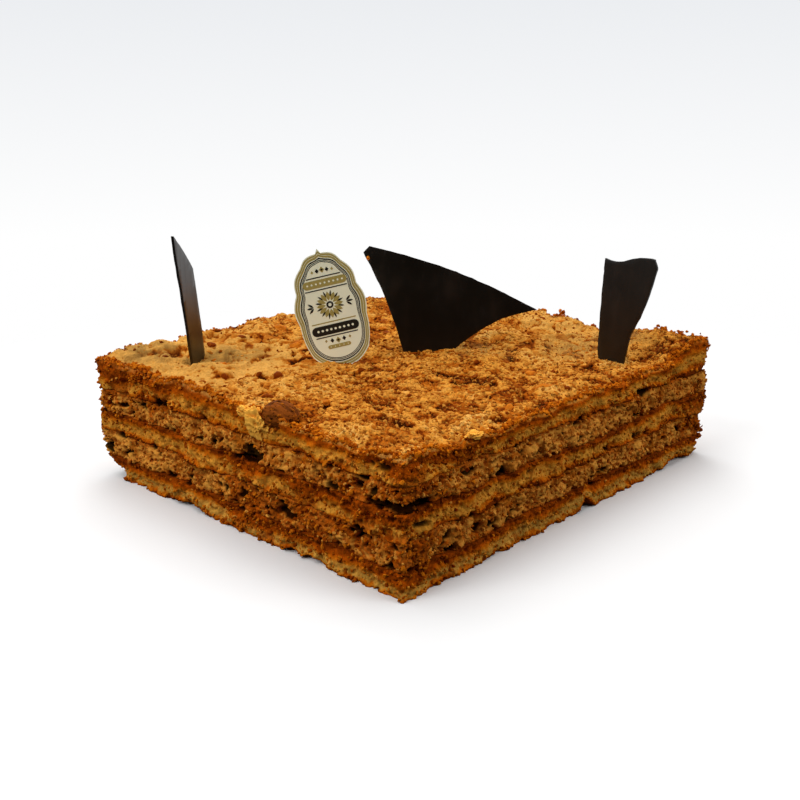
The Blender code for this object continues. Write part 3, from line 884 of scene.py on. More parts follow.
# Parts of the sides that the knife smeared with browned crumbs, and parts that stayed pale:
# place and radius
SMEARS = in_metres((
    ((-113, 88, 52), 24),
    ((-113, 58, 55), 16),
    ((-113, -10, 17), 26),
    ((-113, -46, 20), 28),
    ((-113, -76, 30), 26),
    ((-110, -98, 44), 24),
    ((-108, -99, 16), 22),
    ((-82, -99, 54), 24),
    ((106, -99, 24), 20),
    ((113, -40, 24), 26),
    ((-60, 99, 26), 28),
    ((40, 99, 46), 24),
))
PALE_SPOTS = in_metres((
    ((-113, 7, 50), 14),
    ((-113, 34, 30), 18),
    ((104, -101, 51), 18),
    ((10, -99, 52), 20),
    ((7, -99, 28), 16),
    ((60, -99, 50), 18),
    ((-60, -99, 28), 16),
    ((-30, -99, 28), 18),
    ((90, -99, 50), 20),
    ((84, -99, 27), 18),
    ((-113, 62, 49), 14),
    ((-113, 74, 29), 16),
))


def cut_sponge(shader, colours, crumb, pale_up_to):
    """Colour of a cut side of a meringue layer: browned crust above and below, and between them pale
    crumb up to a level, with painted shade deep in its pores and hollows."""
    level, depth = shader.attribute("level"), shader.attribute("depth")
    broad, middling = shader.noise(20 * MM), shader.noise(4.5 * MM, 3.0)
    fine = shader.noise(1.4 * MM, 3.0, 0.65)
    wandering = level + 0.5 * (broad - 0.5) + 0.3 * (middling - 0.5) + 0.3 * (fine - 0.5)
    wandering = wandering + 0.3 * shader.zone(SMEARS) - 0.16 * shader.zone(PALE_SPOTS)
    tint = shader.stops(
        wandering,
        (0.0, colours.crust_dark), (0.03, colours.crust), (0.13, colours.crumb_warm), (0.22, crumb),
        (pale_up_to - 0.1, crumb), (pale_up_to + 0.06, colours.crumb_warm), (pale_up_to + 0.2, colours.crust),
        (1.0, colours.crust_dark),
    )
    smear = shader.ramp(shader.noise(12 * MM, 4.0, 0.6, 0.6) + 0.25 * shader.zone(SMEARS), 0.56, 0.7)
    mottle = shader.ramp(shader.noise(2.4 * MM, 3.0, 0.6), 0.36, 0.6)
    brown = shader.blend(mottle, colours.crust_dark, colours.crust)
    tint = shader.blend(smear * 0.8, tint, brown)
    tint = shader.darken(tint, 0.7 + 0.34 * shader.patches(1.5 * MM) + 0.36 * (fine - 0.25))
    # Painted shade: the deeper a point lies in a pore or in one of the hollows, the darker it is painted
    return shader.blend(shader.ramp(depth, 0.6, 2.4) * 0.94, tint, colours.hollow_shade)


def sponge_material(colours, name, crumb, pale_up_to):
    shader = Shader(name, 0.9, 0.02)
    tint = cut_sponge(shader, colours, crumb, pale_up_to)
    return shader.finish(tint, crumbly_height(shader), strength=0.8)


def cream_material(colours):
    """Cut praline cream, with crumbs dragged over it by the knife, and painted shade deep in its pores and
    hollows.
    """
    shader = Shader("praline_cream", 0.85, 0.01)
    depth, level = shader.attribute("depth"), shader.attribute("level")
    fine = shader.noise(1.6 * MM, 3.0, 0.6)
    soft = shader.noise(8 * MM, 3.0, 0.6)
    tint = shader.blend(shader.ramp(soft, 0.34, 0.6), colours.cream_dark, colours.cream)
    tint = shader.darken(tint, 0.72 + 0.56 * fine)
    edge = shader.math("ABSOLUTE", level - 0.5) + 0.3 * (shader.noise(3 * MM, 3.0) - 0.5)
    smear = shader.noise(9 * MM, 4.0, 0.65, 0.8) + 0.3 * shader.zone(SMEARS)
    crumbs = shader.blend(shader.ramp(fine, 0.36, 0.6), colours.crust_dark, colours.crust)
    covered = shader.highest(shader.ramp(edge, 0.36, 0.46) * 0.8, shader.ramp(smear, 0.54, 0.66) * 0.85)
    tint = shader.blend(covered, tint, crumbs)
    # Painted shade: the deeper a point lies in a pore or in one of the hollows, the darker it is painted
    tint = shader.blend(shader.ramp(depth, 0.6, 2.2) * 0.95, tint, colours.hollow_shade)
    height = shader.noise(1.2 * MM, 3.0, 0.6) + 0.5 * (1 - shader.spots(1.1 * MM))
    return shader.finish(tint, height, 0.3 * MM, 0.6)


# Greyish, less baked patches of the top; the two by the right shard's foot are its painted shadow as
# well: place and radius
STALE_AND_SHADOWED_PATCHES = in_metres((
    ((-66, 58, 57), 26),
    ((-96, 86, 61), 22),
    # These two patches by the right shard's foot also stand for its painted shadow
    ((70, -52, 57), 30),
    ((96, -60, 59), 30),
    ((30, -22, 58), 22),
))

# Darker patches of the top, most of them more baked and two by the right shard's foot its painted shadow,
# powdery ones, and browned stretches of its rim: place and radius
BAKED_AND_SHADOWED_PATCHES = in_metres((
    ((104, -84, 62), 36),
    ((-17, -43, 58), 18),
    ((-44, 34, 58), 16),
    ((-100, 40, 58), 18),
    ((-48, 74, 60), 36),
    # These two patches beside the right shard's foot are its painted shadow
    ((77, -60, 58), 15),
    ((76, -37, 58), 13),
    ((52, -34, 58), 12),
))
POWDERY_PATCHES = in_metres((
    ((-98, -84, 57), 36),
    ((-60, -88, 57), 22),
    ((-70, -20, 57), 26),
    ((106, -12, 60), 30),
    ((56, -8, 59), 20),
    ((60, -82, 58), 18),
))
BROWNED_RIM = in_metres((
    ((-113, 94, 56), 30),
    ((-113, 66, 56), 22),
    ((-113, 40, 57), 20),
    ((113, -94, 62), 34),
    ((40, -99, 57), 24),
))


def top_material(colours):
    """The top layer: cracked powdery crust above, with painted shade in its pits, cracks and crevices, and
    the same cut sides as the other layers.
    """
    shader = Shader("top_sponge", 0.95, 0.02)
    level, high = shader.attribute("level"), shader.attribute("high")
    dusty, inward = shader.attribute("dusty"), shader.attribute("inward")
    broad, middling = shader.noise(26 * MM, 3.0), shader.noise(4 * MM, 3.0)
    fine, speckle = shader.noise(1.2 * MM, 3.0, 0.65), shader.noise(0.8 * MM, 2.0, 0.6)
    spot = 0.22 + 0.6 * high + 0.85 * (broad - 0.5) + 0.45 * (middling - 0.5) + 0.38 * (fine - 0.5)
    # The baked and shadowed patches darken the top; by the right shard's foot this darkening is its painted
    # shadow
    spot = spot + 0.1 * dusty - 0.24 * shader.zone(BAKED_AND_SHADOWED_PATCHES) + 0.16 * shader.zone(POWDERY_PATCHES)
    # The lowest spots, in pits, grooves and crevices, run to the pit colour: partly browned crumb, partly
    # painted shade
    top = shader.stops(
        spot,
        (0.08, colours.pit), (0.24, colours.crust_dark), (0.41, colours.baked), (0.66, colours.powder),
        (0.82, colours.powder), (1.0, colours.dust),
    )
    top = shader.blend(dusty * shader.ramp(spot, 0.5, 0.75) * 0.8, top, colours.dust)
    # Greyish less baked patches, and by the right shard's foot its painted shadow
    stale_and_shadow = shader.zone(STALE_AND_SHADOWED_PATCHES) * shader.ramp(shader.noise(7 * MM, 3.0), 0.32, 0.56)
    top = shader.blend(stale_and_shadow * 0.75, top, colours.stale_and_shadow)
    # Thin cracks are darkened towards the pit colour and sunk by the bump: painted shade in the cracks,
    # partly browned crumb
    cracks = 1 - shader.ramp(shader.noise(2.4 * MM, 4.0, 0.7, 0.5) + 0.1 * dusty, 0.34, 0.42)
    top = shader.blend(cracks * 0.8, top, colours.pit)
    rim = 1 - shader.ramp(inward + 8 * (middling - 0.5) + 4 * (fine - 0.5), 0.0, 2.8)
    brown = shader.blend(shader.ramp(fine, 0.3, 0.52), colours.crust_dark, colours.crust)
    top = shader.blend(rim * (0.25 + 0.65 * shader.zone(BROWNED_RIM)), top, brown)
    top = shader.darken(top, 0.62 + 0.5 * shader.patches(1.0 * MM) * (1 - 0.5 * dusty) + 0.45 * speckle)
    side = cut_sponge(shader, colours, colours.crumb, 0.5)
    tint = shader.blend(shader.ramp(level + 0.12 * (middling - 0.5), 0.84, 0.97), side, top)
    return shader.finish(tint, crumbly_height(shader) - 1.2 * cracks, 0.4 * MM, 0.8)


def crumb_material(name, dark, light, roughness=0.88):
    """Loose and standing crumbs, each of a shade of its own."""
    shader = Shader(name, roughness, 0.02)
    shade = shader.attribute("shade")
    tint = shader.blend(shader.ramp(shade + 0.5 * (shader.noise(0.8 * MM) - 0.5), 0.1, 0.9), dark, light)
    return shader.finish(tint, shader.noise(0.5 * MM, 3.0, 0.7), 0.15 * MM, 0.5)


def chocolate_material(colours):
    """Dark chocolate with a soft gloss, faint upright streaks and a few rubbed spots."""
    shader = Shader("dark_chocolate", 0.3, 0.5)
    streaks = shader.noise(6 * MM, 3.0, 0.5, place=shader.stretched((1, 1, 0.12)))
    clouds = shader.noise(16 * MM, 2.0)
    rubbed = shader.ramp(streaks * 0.6 + clouds * 0.4, 0.46, 0.7) * 0.35
    tint = shader.blend(rubbed, colours.chocolate, colours.bloom)
    scratches = shader.noise(1.1 * MM, 2.0, 0.5, place=shader.stretched((1, 1, 0.08)))
    scratches = shader.ramp(scratches, 0.6, 0.75)
    roughness = 0.24 + 0.16 * clouds + 0.12 * scratches
    return shader.finish(tint, streaks + 0.15 * scratches, 0.12 * MM, 0.35, roughness)


def almond_material(colours):
    """The whole almond's brown skin, mottled, with painted highlight on its wrinkles' ridges and painted
    shade in their grooves.
    """
    shader = Shader("almond_skin", 0.6, 0.02)
    ridge = shader.attribute("ridge")
    mottled = shader.noise(2.4 * MM, 3.0, 0.6)
    # Painted shade in the wrinkles' grooves, over real mottling; the ridges keep the paler skin colour as
    # painted highlight
    dark = shader.darken(colours.almond_skin, 0.2 + 0.5 * mottled)
    tint = shader.blend(shader.ramp(ridge + 0.5 * (mottled - 0.5), 0.1, 0.9), dark, colours.almond_skin)
    return shader.finish(tint, shader.noise(0.6 * MM, 3.0), 0.12 * MM, 0.4, 0.46 + 0.3 * mottled)


# Tones of the plaque's print, kept on its faces
RIM, GOLD, INK, FIELD = 0.0, 1.0, 2.0, 3.0


def plaque_material(colours):
    """Printed card with a satin surface."""
    shader = Shader("plaque_print", 0.38, 0.5)
    tone = shader.attribute("tone")
    fibre = shader.noise(1.2 * MM, 3.0)
    gold = shader.darken(colours.plaque_gold, 0.86 + 0.28 * fibre)
    tint = shader.blend(shader.math("GREATER_THAN", tone, RIM + 0.5), colours.plaque_rim, gold)
    tint = shader.blend(shader.math("GREATER_THAN", tone, GOLD + 0.5), tint, colours.plaque_ink)
    tint = shader.blend(shader.math("GREATER_THAN", tone, INK + 0.5), tint, colours.plaque_field)
    return shader.finish(tint, fibre, 0.03 * MM, 0.3, 0.34 + 0.12 * fibre)


def floor_material(look):
    """Pale to the camera and dark to the light that it would throw back, fading out with distance."""
    shader = Shader("pale_floor", 0.8, 0.0)
    far = shader.node("ShaderNodeVectorMath", {"operation": "LENGTH"}, {0: shader.place})
    fade = shader.ramp(Value(shader, far.outputs["Value"]), look.floor_fades, look.floor_ends, 1.0, 0.0)
    shader.feed(shader.principled.inputs["Alpha"], fade)
    return shader.finish(shader.darken(look.floor_colour, 0.12 + 0.88 * shader.seen_by_camera()))


# Crumbs

CRUMB_KINDS = 7


def crumb_shapes(seed):
    """A few rough chips of 20 faces, as arrays of points, and the faces that they share."""
    shapes = []
    for kind in range(CRUMB_KINDS):
        bm = bmesh.new()
        bmesh.ops.create_icosphere(bm, subdivisions=1, radius=0.5)
        for vert in bm.verts:
            vert.co *= 1 + 0.5 * wave(*vert.co, 0.5, seed + 1.9 * kind)
        shapes.append(np.array([vert.co[:] for vert in bm.verts]))
        faces = np.array([[vert.index for vert in face.verts] for face in bm.faces])
        bm.free()
    return np.array(shapes), faces


def random_turns(draw, count):
    """Random rotation matrices, from random quaternions."""
    w, x, y, z = draw.normal(size=(count, 4)).T
    size = np.sqrt(w * w + x * x + y * y + z * z)
    w, x, y, z = w / size, x / size, y / size, z / size
    return np.stack([
        1 - 2 * (y * y + z * z), 2 * (x * y - z * w), 2 * (x * z + y * w),
        2 * (x * y + z * w), 1 - 2 * (x * x + z * z), 2 * (y * z - x * w),
        2 * (x * z - y * w), 2 * (y * z + x * w), 1 - 2 * (x * x + y * y),
    ], axis=1).reshape(count, 3, 3)


def turns_about(draw, normals):
    """Rotation matrices whose third axis is a normal, turned at random about it."""
    count = len(normals)
    other = draw.normal(size=(count, 3))
    first = np.cross(other, normals)
    first /= np.linalg.norm(first, axis=1, keepdims=True)
    second = np.cross(normals, first)
    return np.stack([first, second, normals], axis=2)


# Crumbs are held this far inside the solids' box
BOX_EDGE = 0.02 * MM


def joined_crumbs(name, places, normals, sizes, flat, material, seed, sunk=0.2, lying=False):
    """Many crumbs joined into one mesh. flat is their thickness over their width, sunk is how much of the
    size lies under the surface, and lying turns their flat side to it."""
    draw = np.random.RandomState(seed)
    count = len(places)
    shapes, faces = crumb_shapes(seed)
    chosen = shapes[draw.randint(0, CRUMB_KINDS, count)]
    long, wide = draw.uniform(0.55, 1.5, count), draw.uniform(0.55, 1.3, count)
    stretch = np.stack([long, wide, np.full(count, flat)], 1)
    turns = turns_about(draw, normals) if lying else random_turns(draw, count)
    points = np.einsum("nij,nkj->nki", turns, chosen * stretch[:, None, :] * sizes[:, None, None])
    thickness = sizes * (flat if lying else 1.0)
    points += (places + normals * (thickness * (0.5 - sunk))[:, None])[:, None, :]
    points = np.clip(points, np.array(CAD_BOX[0]) + BOX_EDGE, np.array(CAD_BOX[1]) - BOX_EDGE)
    mesh = bpy.data.meshes.new(name)
    corners = (faces[None] + (np.arange(count) * shapes.shape[1])[:, None, None]).reshape(-1, 3)
    mesh.from_pydata(points.reshape(-1, 3), [], corners)
    shade = mesh.attributes.new("shade", "FLOAT", "POINT")
    shade.data.foreach_set("value", np.repeat(draw.uniform(0, 1, count), shapes.shape[1]))
    mesh.update()
    piece = finish_mesh(name, mesh, material)
    mesh.shade_flat()
    return piece


class Surface:
    """A finished piece's points, with their normals and attributes, for crumbs to sit on."""

    def __init__(self, name):
        mesh = bpy.data.objects[name].data
        count = len(mesh.vertices)
        self.places = self.read(mesh.vertices, "co", count, 3)
        self.normals = self.read(mesh.vertex_normals, "vector", count, 3)
        for key in KEPT:
            setattr(self, key, self.read(mesh.attributes[key].data, "value", count, 1)[:, 0])

    @staticmethod
    def read(source, key, count, width):
        values = np.empty(count * width)
        source.foreach_get(key, values)
        return values.reshape(count, width)

    def on_side(self):
        """Which points lie on the cut sides."""
        return (self.level > 0.005) & (self.level < 0.995)

    def near(self, spots):
        """1 at any of several points of the cake, falling to 0 at the radius of each."""
        value = np.zeros(len(self.places))
        for place, radius in spots:
            far = np.linalg.norm(self.places - place, axis=1) / radius
            value = np.maximum(value, np.clip(1 - far, 0, 1) ** 0.5)
        return value

    def pick(self, draw, weights, count):
        """Random points, drawn by weight."""
        weights = np.maximum(weights, 0)
        chosen = draw.choice(len(weights), count, p=weights / weights.sum(), replace=False)
        return self.places[chosen], self.normals[chosen]


# Clumps of browned crumb that stand up along the rim: place and radius
RIM_CLUMPS = in_metres((
    ((111.5, -72.5, 61.9), 3.2),
    ((111.5, -76.0, 61.9), 2.0),
    ((112.0, -86.5, 61.6), 3.0),
    ((112.5, -97.5, 61.0), 3.0),
    ((113.0, -99.0, 57.5), 3.0),
    ((112.5, -12.0, 60.9), 2.0),
    ((-112.5, 92.0, 56.6), 3.4),
    ((-111.0, 62.0, 55.6), 2.8),
    ((-113.0, 70.0, 54.0), 3.4),
    ((113.0, -99.6, 30.0), 2.6),
    ((112.6, -99.8, 14.0), 3.0),
    ((-113.6, 97.0, 30.0), 2.6),
))
CLUMP_CRUMBS = 34
CLUMP_SEED = 31


def clump_places(draw, clumps, count):
    """Places in round clumps, and the directions out of them."""
    places, normals = [], []
    for middle, radius in clumps:
        out = draw.normal(size=(count, 3))
        out /= np.linalg.norm(out, axis=1, keepdims=True)
        places.append(np.array(middle) + out * draw.uniform(0, 1, (count, 1)) ** 0.5 * radius)
        normals.append(out)
    return np.concatenate(places), np.concatenate(normals)


def crumb_sizes(draw, count, ends):
    """Sizes between two ends in millimetres, with many small crumbs and few large ones."""
    smallest, largest = in_metres(ends)
    return smallest + (largest - smallest) * draw.uniform(0, 1, count) ** 2.4


# Toppings

SHARD_THICKNESS = 1.3 * MM
ARC_STEPS = 10

# How a shard stands: its foot, its turn and lean in degrees, how far it bends in 10 mm, and its outline's
# corners in millimetres: across, up, and how far the edge to the next corner swells outwards
LEFT_SHARD = {
    "foot": (-81.7 * MM, 65.5 * MM, 56.0 * MM),
    "turn": 32.2,
    "lean": 0.0,
    "bend": 0.16 * MM,
    "corners": (
        (-22.3, 65.5, 0.9), (0.4, 47.0, 0.5), (9.0, 3.0, 0), (8.4, -9.0, 0), (-6.0, -9.0, 0),
        (-7.0, 3.0, -0.8), (-20.4, 56.0, 0),
    ),
}
CENTRE_SHARD = {
    "foot": (9.3 * MM, -1.0 * MM, 57.0 * MM),
    "turn": -48.4,
    "lean": 10.0,
    "bend": 0.0,
    "corners": (
        (-31.0, 49.5, 0), (-28.0, 52.5, 3.4), (55.5, 21.5, -3.4), (15.5, 2.0, -0.6), (11.5, -9.0, 0),
        (-8.5, -9.0, 0), (-11.8, 3.0, -1.5),
    ),
}
RIGHT_SHARD = {
    "foot": (63.5 * MM, -76.4 * MM, 56.4 * MM),
    "turn": -88.7,
    "lean": 4.0,
    "bend": 0.22 * MM,
    "corners": (
        (-9.1, 48.6, -0.7), (1.5, 48.4, 1.0), (17.6, 51.0, 0.3), (19.5, 46.4, 1.3), (8.6, 13.5, 0.2),
        (4.6, -9.0, 0), (-6.4, -9.0, 0), (-8.6, 4.0, 0.2),
    ),
}
PLAQUE_THICKNESS = 0.9 * MM
PLAQUE = {
    "foot": (-35.5 * MM, 13.3 * MM, 57.0 * MM),
    "turn": -43.7,
    "lean": 5.0,
}

# The plaque's middle, across and up from its foot in millimetres, its tilt in its own plane in degrees,
# and the corners of its right half, given like a shard's
PLAQUE_MIDDLE = (-4.9, 29.4)
PLAQUE_TILT = 12.5
PLAQUE_HALF = (
    (0.0, 26.4, 0), (1.3, 24.2, 1.7), (9.8, 19.0, 1.8), (14.6, 7.0, 1.8), (16.2, -8.0, 0.9),
    (13.6, -24.0, 2.0), (0.0, -31.5, 0),
)
ALMOND_LENGTH = 18.5 * MM
ALMOND_WIDTH = 13.5 * MM
ALMOND_THICKNESS = 12.5 * MM
ALMOND_PLACE = Vector((-107.6 * MM, -26.6 * MM, 56.6 * MM))
ALMOND_TURN = radians(96)
ALMOND_TAPER = -0.08
ALMOND_TILT = 4
ALMOND_RINGS = 72
ALMOND_SEGMENTS = 96
WRINKLE_DEPTH = 0.045


def arc(start, end, bulge):
    """Points from start up to, and without, end, along an arc that swells by bulge to the left."""
    steps = ARC_STEPS if bulge else 1
    run = end - start
    left = Vector((-run.y, run.x)).normalized()
    return [start + run * k / steps + left * bulge * sin(pi * k / steps) for k in range(steps)]


def outline_from(corners):
    """A plate's outline in metres, with an arc between two corners where the edge swells."""
    points = []
    for k, (across, up, bulge) in enumerate(corners):
        following = corners[(k + 1) % len(corners)]
        points += arc(Vector((across, up)), Vector(following[:2]), bulge)
    return [point * MM for point in points]


def plate_frame(stance):
    """Matrix from a plate's own frame (across, up, out of its face) to the cake's."""
    turn = Matrix.Rotation(radians(stance["turn"]), 4, "Z")
    lean = Matrix.Rotation(radians(90 - stance["lean"]), 4, "X")
    return Matrix.Translation(stance["foot"]) @ turn @ lean


def plate(bm, outline, low, high):
    """A flat plate between two heights, and its upper face."""
    face = bm.faces.new([bm.verts.new((point.x, point.y, low)) for point in outline])
    made = bmesh.ops.extrude_face_region(bm, geom=[face], use_keep_orig=True)
    bmesh.ops.translate(bm, verts=new_verts(made), vec=(0, 0, high - low))
    return new_face(made)


def rim_edges(bm):
    """The sharp edges between a plate's faces and its narrow sides."""
    bm.normal_update()
    return [edge for edge in bm.edges if edge.calc_face_angle(0) > radians(60)]


# A shard's faces are divided by cuts this far apart, over this reach, and its edges are rounded
SHARD_CUT = 4 * MM
SHARD_REACH = 80 * MM
SHARD_ROUNDING = 0.28 * MM
SHARD_WAVINESS = 0.22 * MM


def shard(name, stance, material, node, seed):
    """A broken shard of chocolate, slightly uneven in thickness, with softened edges."""
    bm = bmesh.new()
    plate(bm, outline_from(stance["corners"]), -SHARD_THICKNESS / 2, SHARD_THICKNESS / 2)
    bmesh.ops.recalc_face_normals(bm, faces=bm.faces)
    for normal in (Vector((1, 0, 0)), Vector((0, 1, 0))):
        for k in range(int(-SHARD_REACH / SHARD_CUT), int(SHARD_REACH / SHARD_CUT)):
            bmesh.ops.bisect_plane(
                bm, geom=bm.verts[:] + bm.edges[:] + bm.faces[:], plane_co=normal * (k + 0.5) * SHARD_CUT,
                plane_no=normal,
            )
    bmesh.ops.bevel(
        bm, geom=rim_edges(bm), offset=SHARD_ROUNDING, segments=3, profile=0.5, affect="EDGES",
        material=-1, clamp_overlap=True,
    )
    for vert in bm.verts:
        side = 1 if vert.co.z > 0 else -1
        vert.co.z += stance["bend"] * (vert.co.x / (10 * MM)) ** 2
        vert.co.z += side * 0.07 * MM * wave(vert.co.x, vert.co.y, side * 5 * MM, 9 * MM, seed)
        vert.co.x += SHARD_WAVINESS * wave(vert.co.x, vert.co.y, 0, 3.1 * MM, seed + 3)
        vert.co.y += SHARD_WAVINESS * wave(vert.co.x, vert.co.y, 0, 3.3 * MM, seed + 5)
    bmesh.ops.recalc_face_normals(bm, faces=bm.faces)
    bm.transform(plate_frame(stance))
    piece = finish_piece(name, bm, material, node)
    piece.data.set_sharp_from_angle(angle=radians(50))
    return piece


def plaque_outline():
    """The plaque's outline: its right half and the mirror image, tilted in its own plane."""
    right = outline_from(PLAQUE_HALF)[: -1]
    right.append(Vector(PLAQUE_HALF[-1][:2]) * MM)
    left = [Vector((-point.x, point.y)) for point in right[1:-1]]
    return right + left[::-1]


def disc(middle, radius, steps=20):
    turns = [2 * pi * k / steps for k in range(steps)]
    return [Vector(middle) + Vector((radius * cos(turn), radius * sin(turn))) for turn in turns]


def petal(middle, turn, near, far, width, steps=12):
    """A leaf-shaped outline that points away from a middle."""
    points = []
    for k in range(2 * steps):
        part = k / steps
        along = near + (far - near) * (part if part <= 1 else 2 - part)
        side = sin(pi * min(part, 2 - part)) * width / 2 * (1 if part <= 1 else -1)
        points.append(Vector((along, side)))
    spin = Matrix.Rotation(turn, 2)
    return [Vector(middle) + spin @ point for point in points]


def lozenge(middle, across, up):
    """A diamond, given by half its width and half its height."""
    x, y = middle
    return [Vector((x + across, y)), Vector((x, y + up)), Vector((x - across, y)), Vector((x, y - up))]


def bar(middle, across, up, steps=8):
    """A bar with rounded ends, given by half its length and half its height."""
    x, y = middle
    points = []
    for end, start in ((1, -pi / 2), (-1, pi / 2)):
        for k in range(steps + 1):
            turn = start + pi * k / steps
            points.append(Vector((x + end * (across - up) + up * cos(turn), y + up * sin(turn))))
    return points


# How far each printed layer stands out of the one below, and how deep the shapes are rooted in the card
PRINT_STEP = 0.035 * MM
PRINT_ROOT = 0.1 * MM


def printed(bm, tones, outline, layer, tone):
    """Adds a thin printed shape to the plaque's face. Each layer lies a little above the one below."""
    before = set(bm.faces)
    plate(bm, outline, PLAQUE_THICKNESS / 2 - PRINT_ROOT, PLAQUE_THICKNESS / 2 + layer * PRINT_STEP)
    for face in bm.faces:
        if face not in before:
            face[tones] = tone


def ring(bm, tones, face, width, tone):
    """Leaves a ring of the plaque's outline with a tone, and gives the face that is left inside it."""
    made = bmesh.ops.extrude_face_region(bm, geom=[face])
    bmesh.ops.delete(bm, geom=[face], context="FACES_ONLY")
    for vert in new_verts(made):
        vert.co.xy *= 1 - width / vert.co.xy.length
    bmesh.ops.smooth_vert(bm, verts=new_verts(made), factor=0.3, use_axis_x=True, use_axis_y=True)
    inner = new_face(made)
    for edge in inner.edges:
        for side in edge.link_faces:
            side[tones] = tone
    return inner


# Rings of the plaque from its edge inwards: width and tone
PLAQUE_RINGS = (
    (0.6 * MM, RIM), (1.0 * MM, GOLD), (0.18 * MM, RIM), (1.1 * MM, GOLD), (0.4 * MM, RIM),
    (0.75 * MM, INK), (0.25 * MM, FIELD), (0.45 * MM, INK), (0.2 * MM, FIELD), (0.45 * MM, INK),
)

# Bars of the plaque's print: height above its middle, half length, half height, tone, dots on it
PLAQUE_BARS = (
    (10.2, 10.6, 1.9, GOLD, 9), (13.2, 8.4, 0.26, INK, 0), (7.3, 10.2, 0.26, INK, 0),
    (-8.6, 10.8, 0.26, GOLD, 0), (-12.2, 11.4, 2.3, INK, 9), (-15.4, 10.2, 0.26, INK, 0),
    (-20.6, 5.6, 0.9, GOLD, 5),
)


def print_plaque(bm, tones):
    """The plaque's design: a rosette with sprays beside it, dotted bars, and lozenges above and below."""
    middle = Vector((0, -0.6 * MM))
    petals = 12
    for k in range(petals):
        turn = 2 * pi * k / petals
        printed(bm, tones, petal(middle, turn, 2.0 * MM, 6.4 * MM, 1.9 * MM), 2, GOLD)
        printed(bm, tones, petal(middle, turn + pi / petals, 3.8 * MM, 6.9 * MM, 0.8 * MM), 2, INK)
    printed(bm, tones, disc(middle, 1.7 * MM), 2, INK)
    printed(bm, tones, disc(middle, 0.8 * MM), 3, RIM)
    for side in (-1, 1):
        for k in (-1, 0, 1):
            foot = middle + Vector((side * 7.6 * MM, 0))
            turn = k * 0.7 + (pi if side < 0 else 0)
            printed(bm, tones, petal(foot, turn, 0.4 * MM, 3.6 * MM, 1.0 * MM), 2, INK)
    for up, across, thick, tone, dots in PLAQUE_BARS:
        printed(bm, tones, bar((0, up * MM), across * MM, thick * MM), 2, tone)
        for k in range(dots):
            place = ((k - (dots - 1) / 2) * 2.1 * MM, up * MM)
            printed(bm, tones, disc(place, 0.25 * thick * MM), 3, FIELD)
    for up, spread in ((16.4, 2.4), (-17.9, 2.9)):
        for k in range(-2, 3):
            size = (1.5 - 0.35 * abs(k)) * MM
            place = (k * spread * MM, (up - 0.25 * abs(k) * (1 if up > 0 else -1)) * MM)
            printed(bm, tones, lozenge(place, 0.8 * size, size), 2, INK if k % 2 else GOLD)
            if not k:
                printed(bm, tones, disc(place, 0.35 * size), 3, INK)


def almond_block():
    """The whole almond's body, slightly thicker at one end, with wrinkles that run along it."""
    bm = bmesh.new()
    bmesh.ops.create_uvsphere(bm, u_segments=ALMOND_SEGMENTS, v_segments=ALMOND_RINGS, radius=1)
    ridges = bm.verts.layers.float.new("ridge")
    for vert in bm.verts:
        along = vert.co.z
        turn = np.arctan2(vert.co.y, vert.co.x)
        slim = 1 - ALMOND_TAPER * along - 0.12 * along * along
        wrinkle = wave(cos(turn), sin(turn), along * 0.22, 0.16, 1.3)
        wrinkle += 0.5 * wave(cos(turn), sin(turn), along * 0.3, 0.07, 4.1)
        out = 1 + WRINKLE_DEPTH * wrinkle * (1 - along * along)
        # The ridge value, high on the wrinkles' crests, drives the skin's painted highlight and shade
        vert[ridges] = 0.5 + 0.6 * wrinkle
        vert.co = (
            along * ALMOND_LENGTH / 2, vert.co.x * ALMOND_WIDTH / 2 * slim * out,
            vert.co.y * ALMOND_THICKNESS / 2 * slim * out,
        )
    place = Matrix.Translation(ALMOND_PLACE) @ Matrix.Rotation(ALMOND_TURN, 4, "Z")
    bm.transform(place @ Matrix.Rotation(radians(-ALMOND_TILT), 4, "Y"))
    return bm


# Larger pieces of almond that show in the top: x, y, length and width in millimetres, turn in degrees,
# and how pale they are
ALMOND_BITS = (
    (-16.6, 79.8, 8.5, 5.5, -47, 0.75),
    (-5.6, 85.1, 4.5, 3.5, -20, 0.7),
    (-32.3, 49.4, 6.5, 5.0, -60, 0.8),
    (-77.8, 42.6, 7.5, 5.0, -47, 0.15),
    (-73.5, 15.3, 6.0, 4.5, 60, 0.1),
    (101.5, -19.2, 7.5, 5.0, -47, 0.8),
    (18.0, -60.1, 5.4, 5.0, 0, 0.95),
    (-0.8, -81.7, 9.0, 5.0, -47, 0.75),
    (-34.1, -87.5, 5.5, 4.0, 30, 0.85),
    (35.3, 51.8, 7.0, 5.0, 55, 0.35),
    (84.0, 82.0, 7.0, 5.0, 55, 0.5),
    (-20.2, 87.1, 3.4, 2.6, 0, 0.6),
    (-92.1, 30.4, 3.4, 2.6, 40, 0.1),
    (-4.2, -68.6, 4.4, 3.2, 0, 0.4),
    (3.2, -90.6, 4.2, 3.0, 20, 0.05),
    (24.0, 40.0, 5.0, 4.0, -30, 0.3),
    (-62.1, -95.0, 4.4, 3.4, 10, 0.8),
    (-80.0, 21.0, 3.0, 2.4, 10, 0.0),
    (52.0, 8.0, 5.0, 3.6, 70, 0.5),
    (58.0, 60.0, 5.4, 4.0, -10, 0.4),
)
BIT_THICKNESS = 3.6 * MM
BIT_STANDS_OUT = 1.0 * MM
SMALL_BITS = 26
BITS_SEED = 5
ALMOND_CRUMBS = 520
ALMOND_CRUMBS_SEED = 12

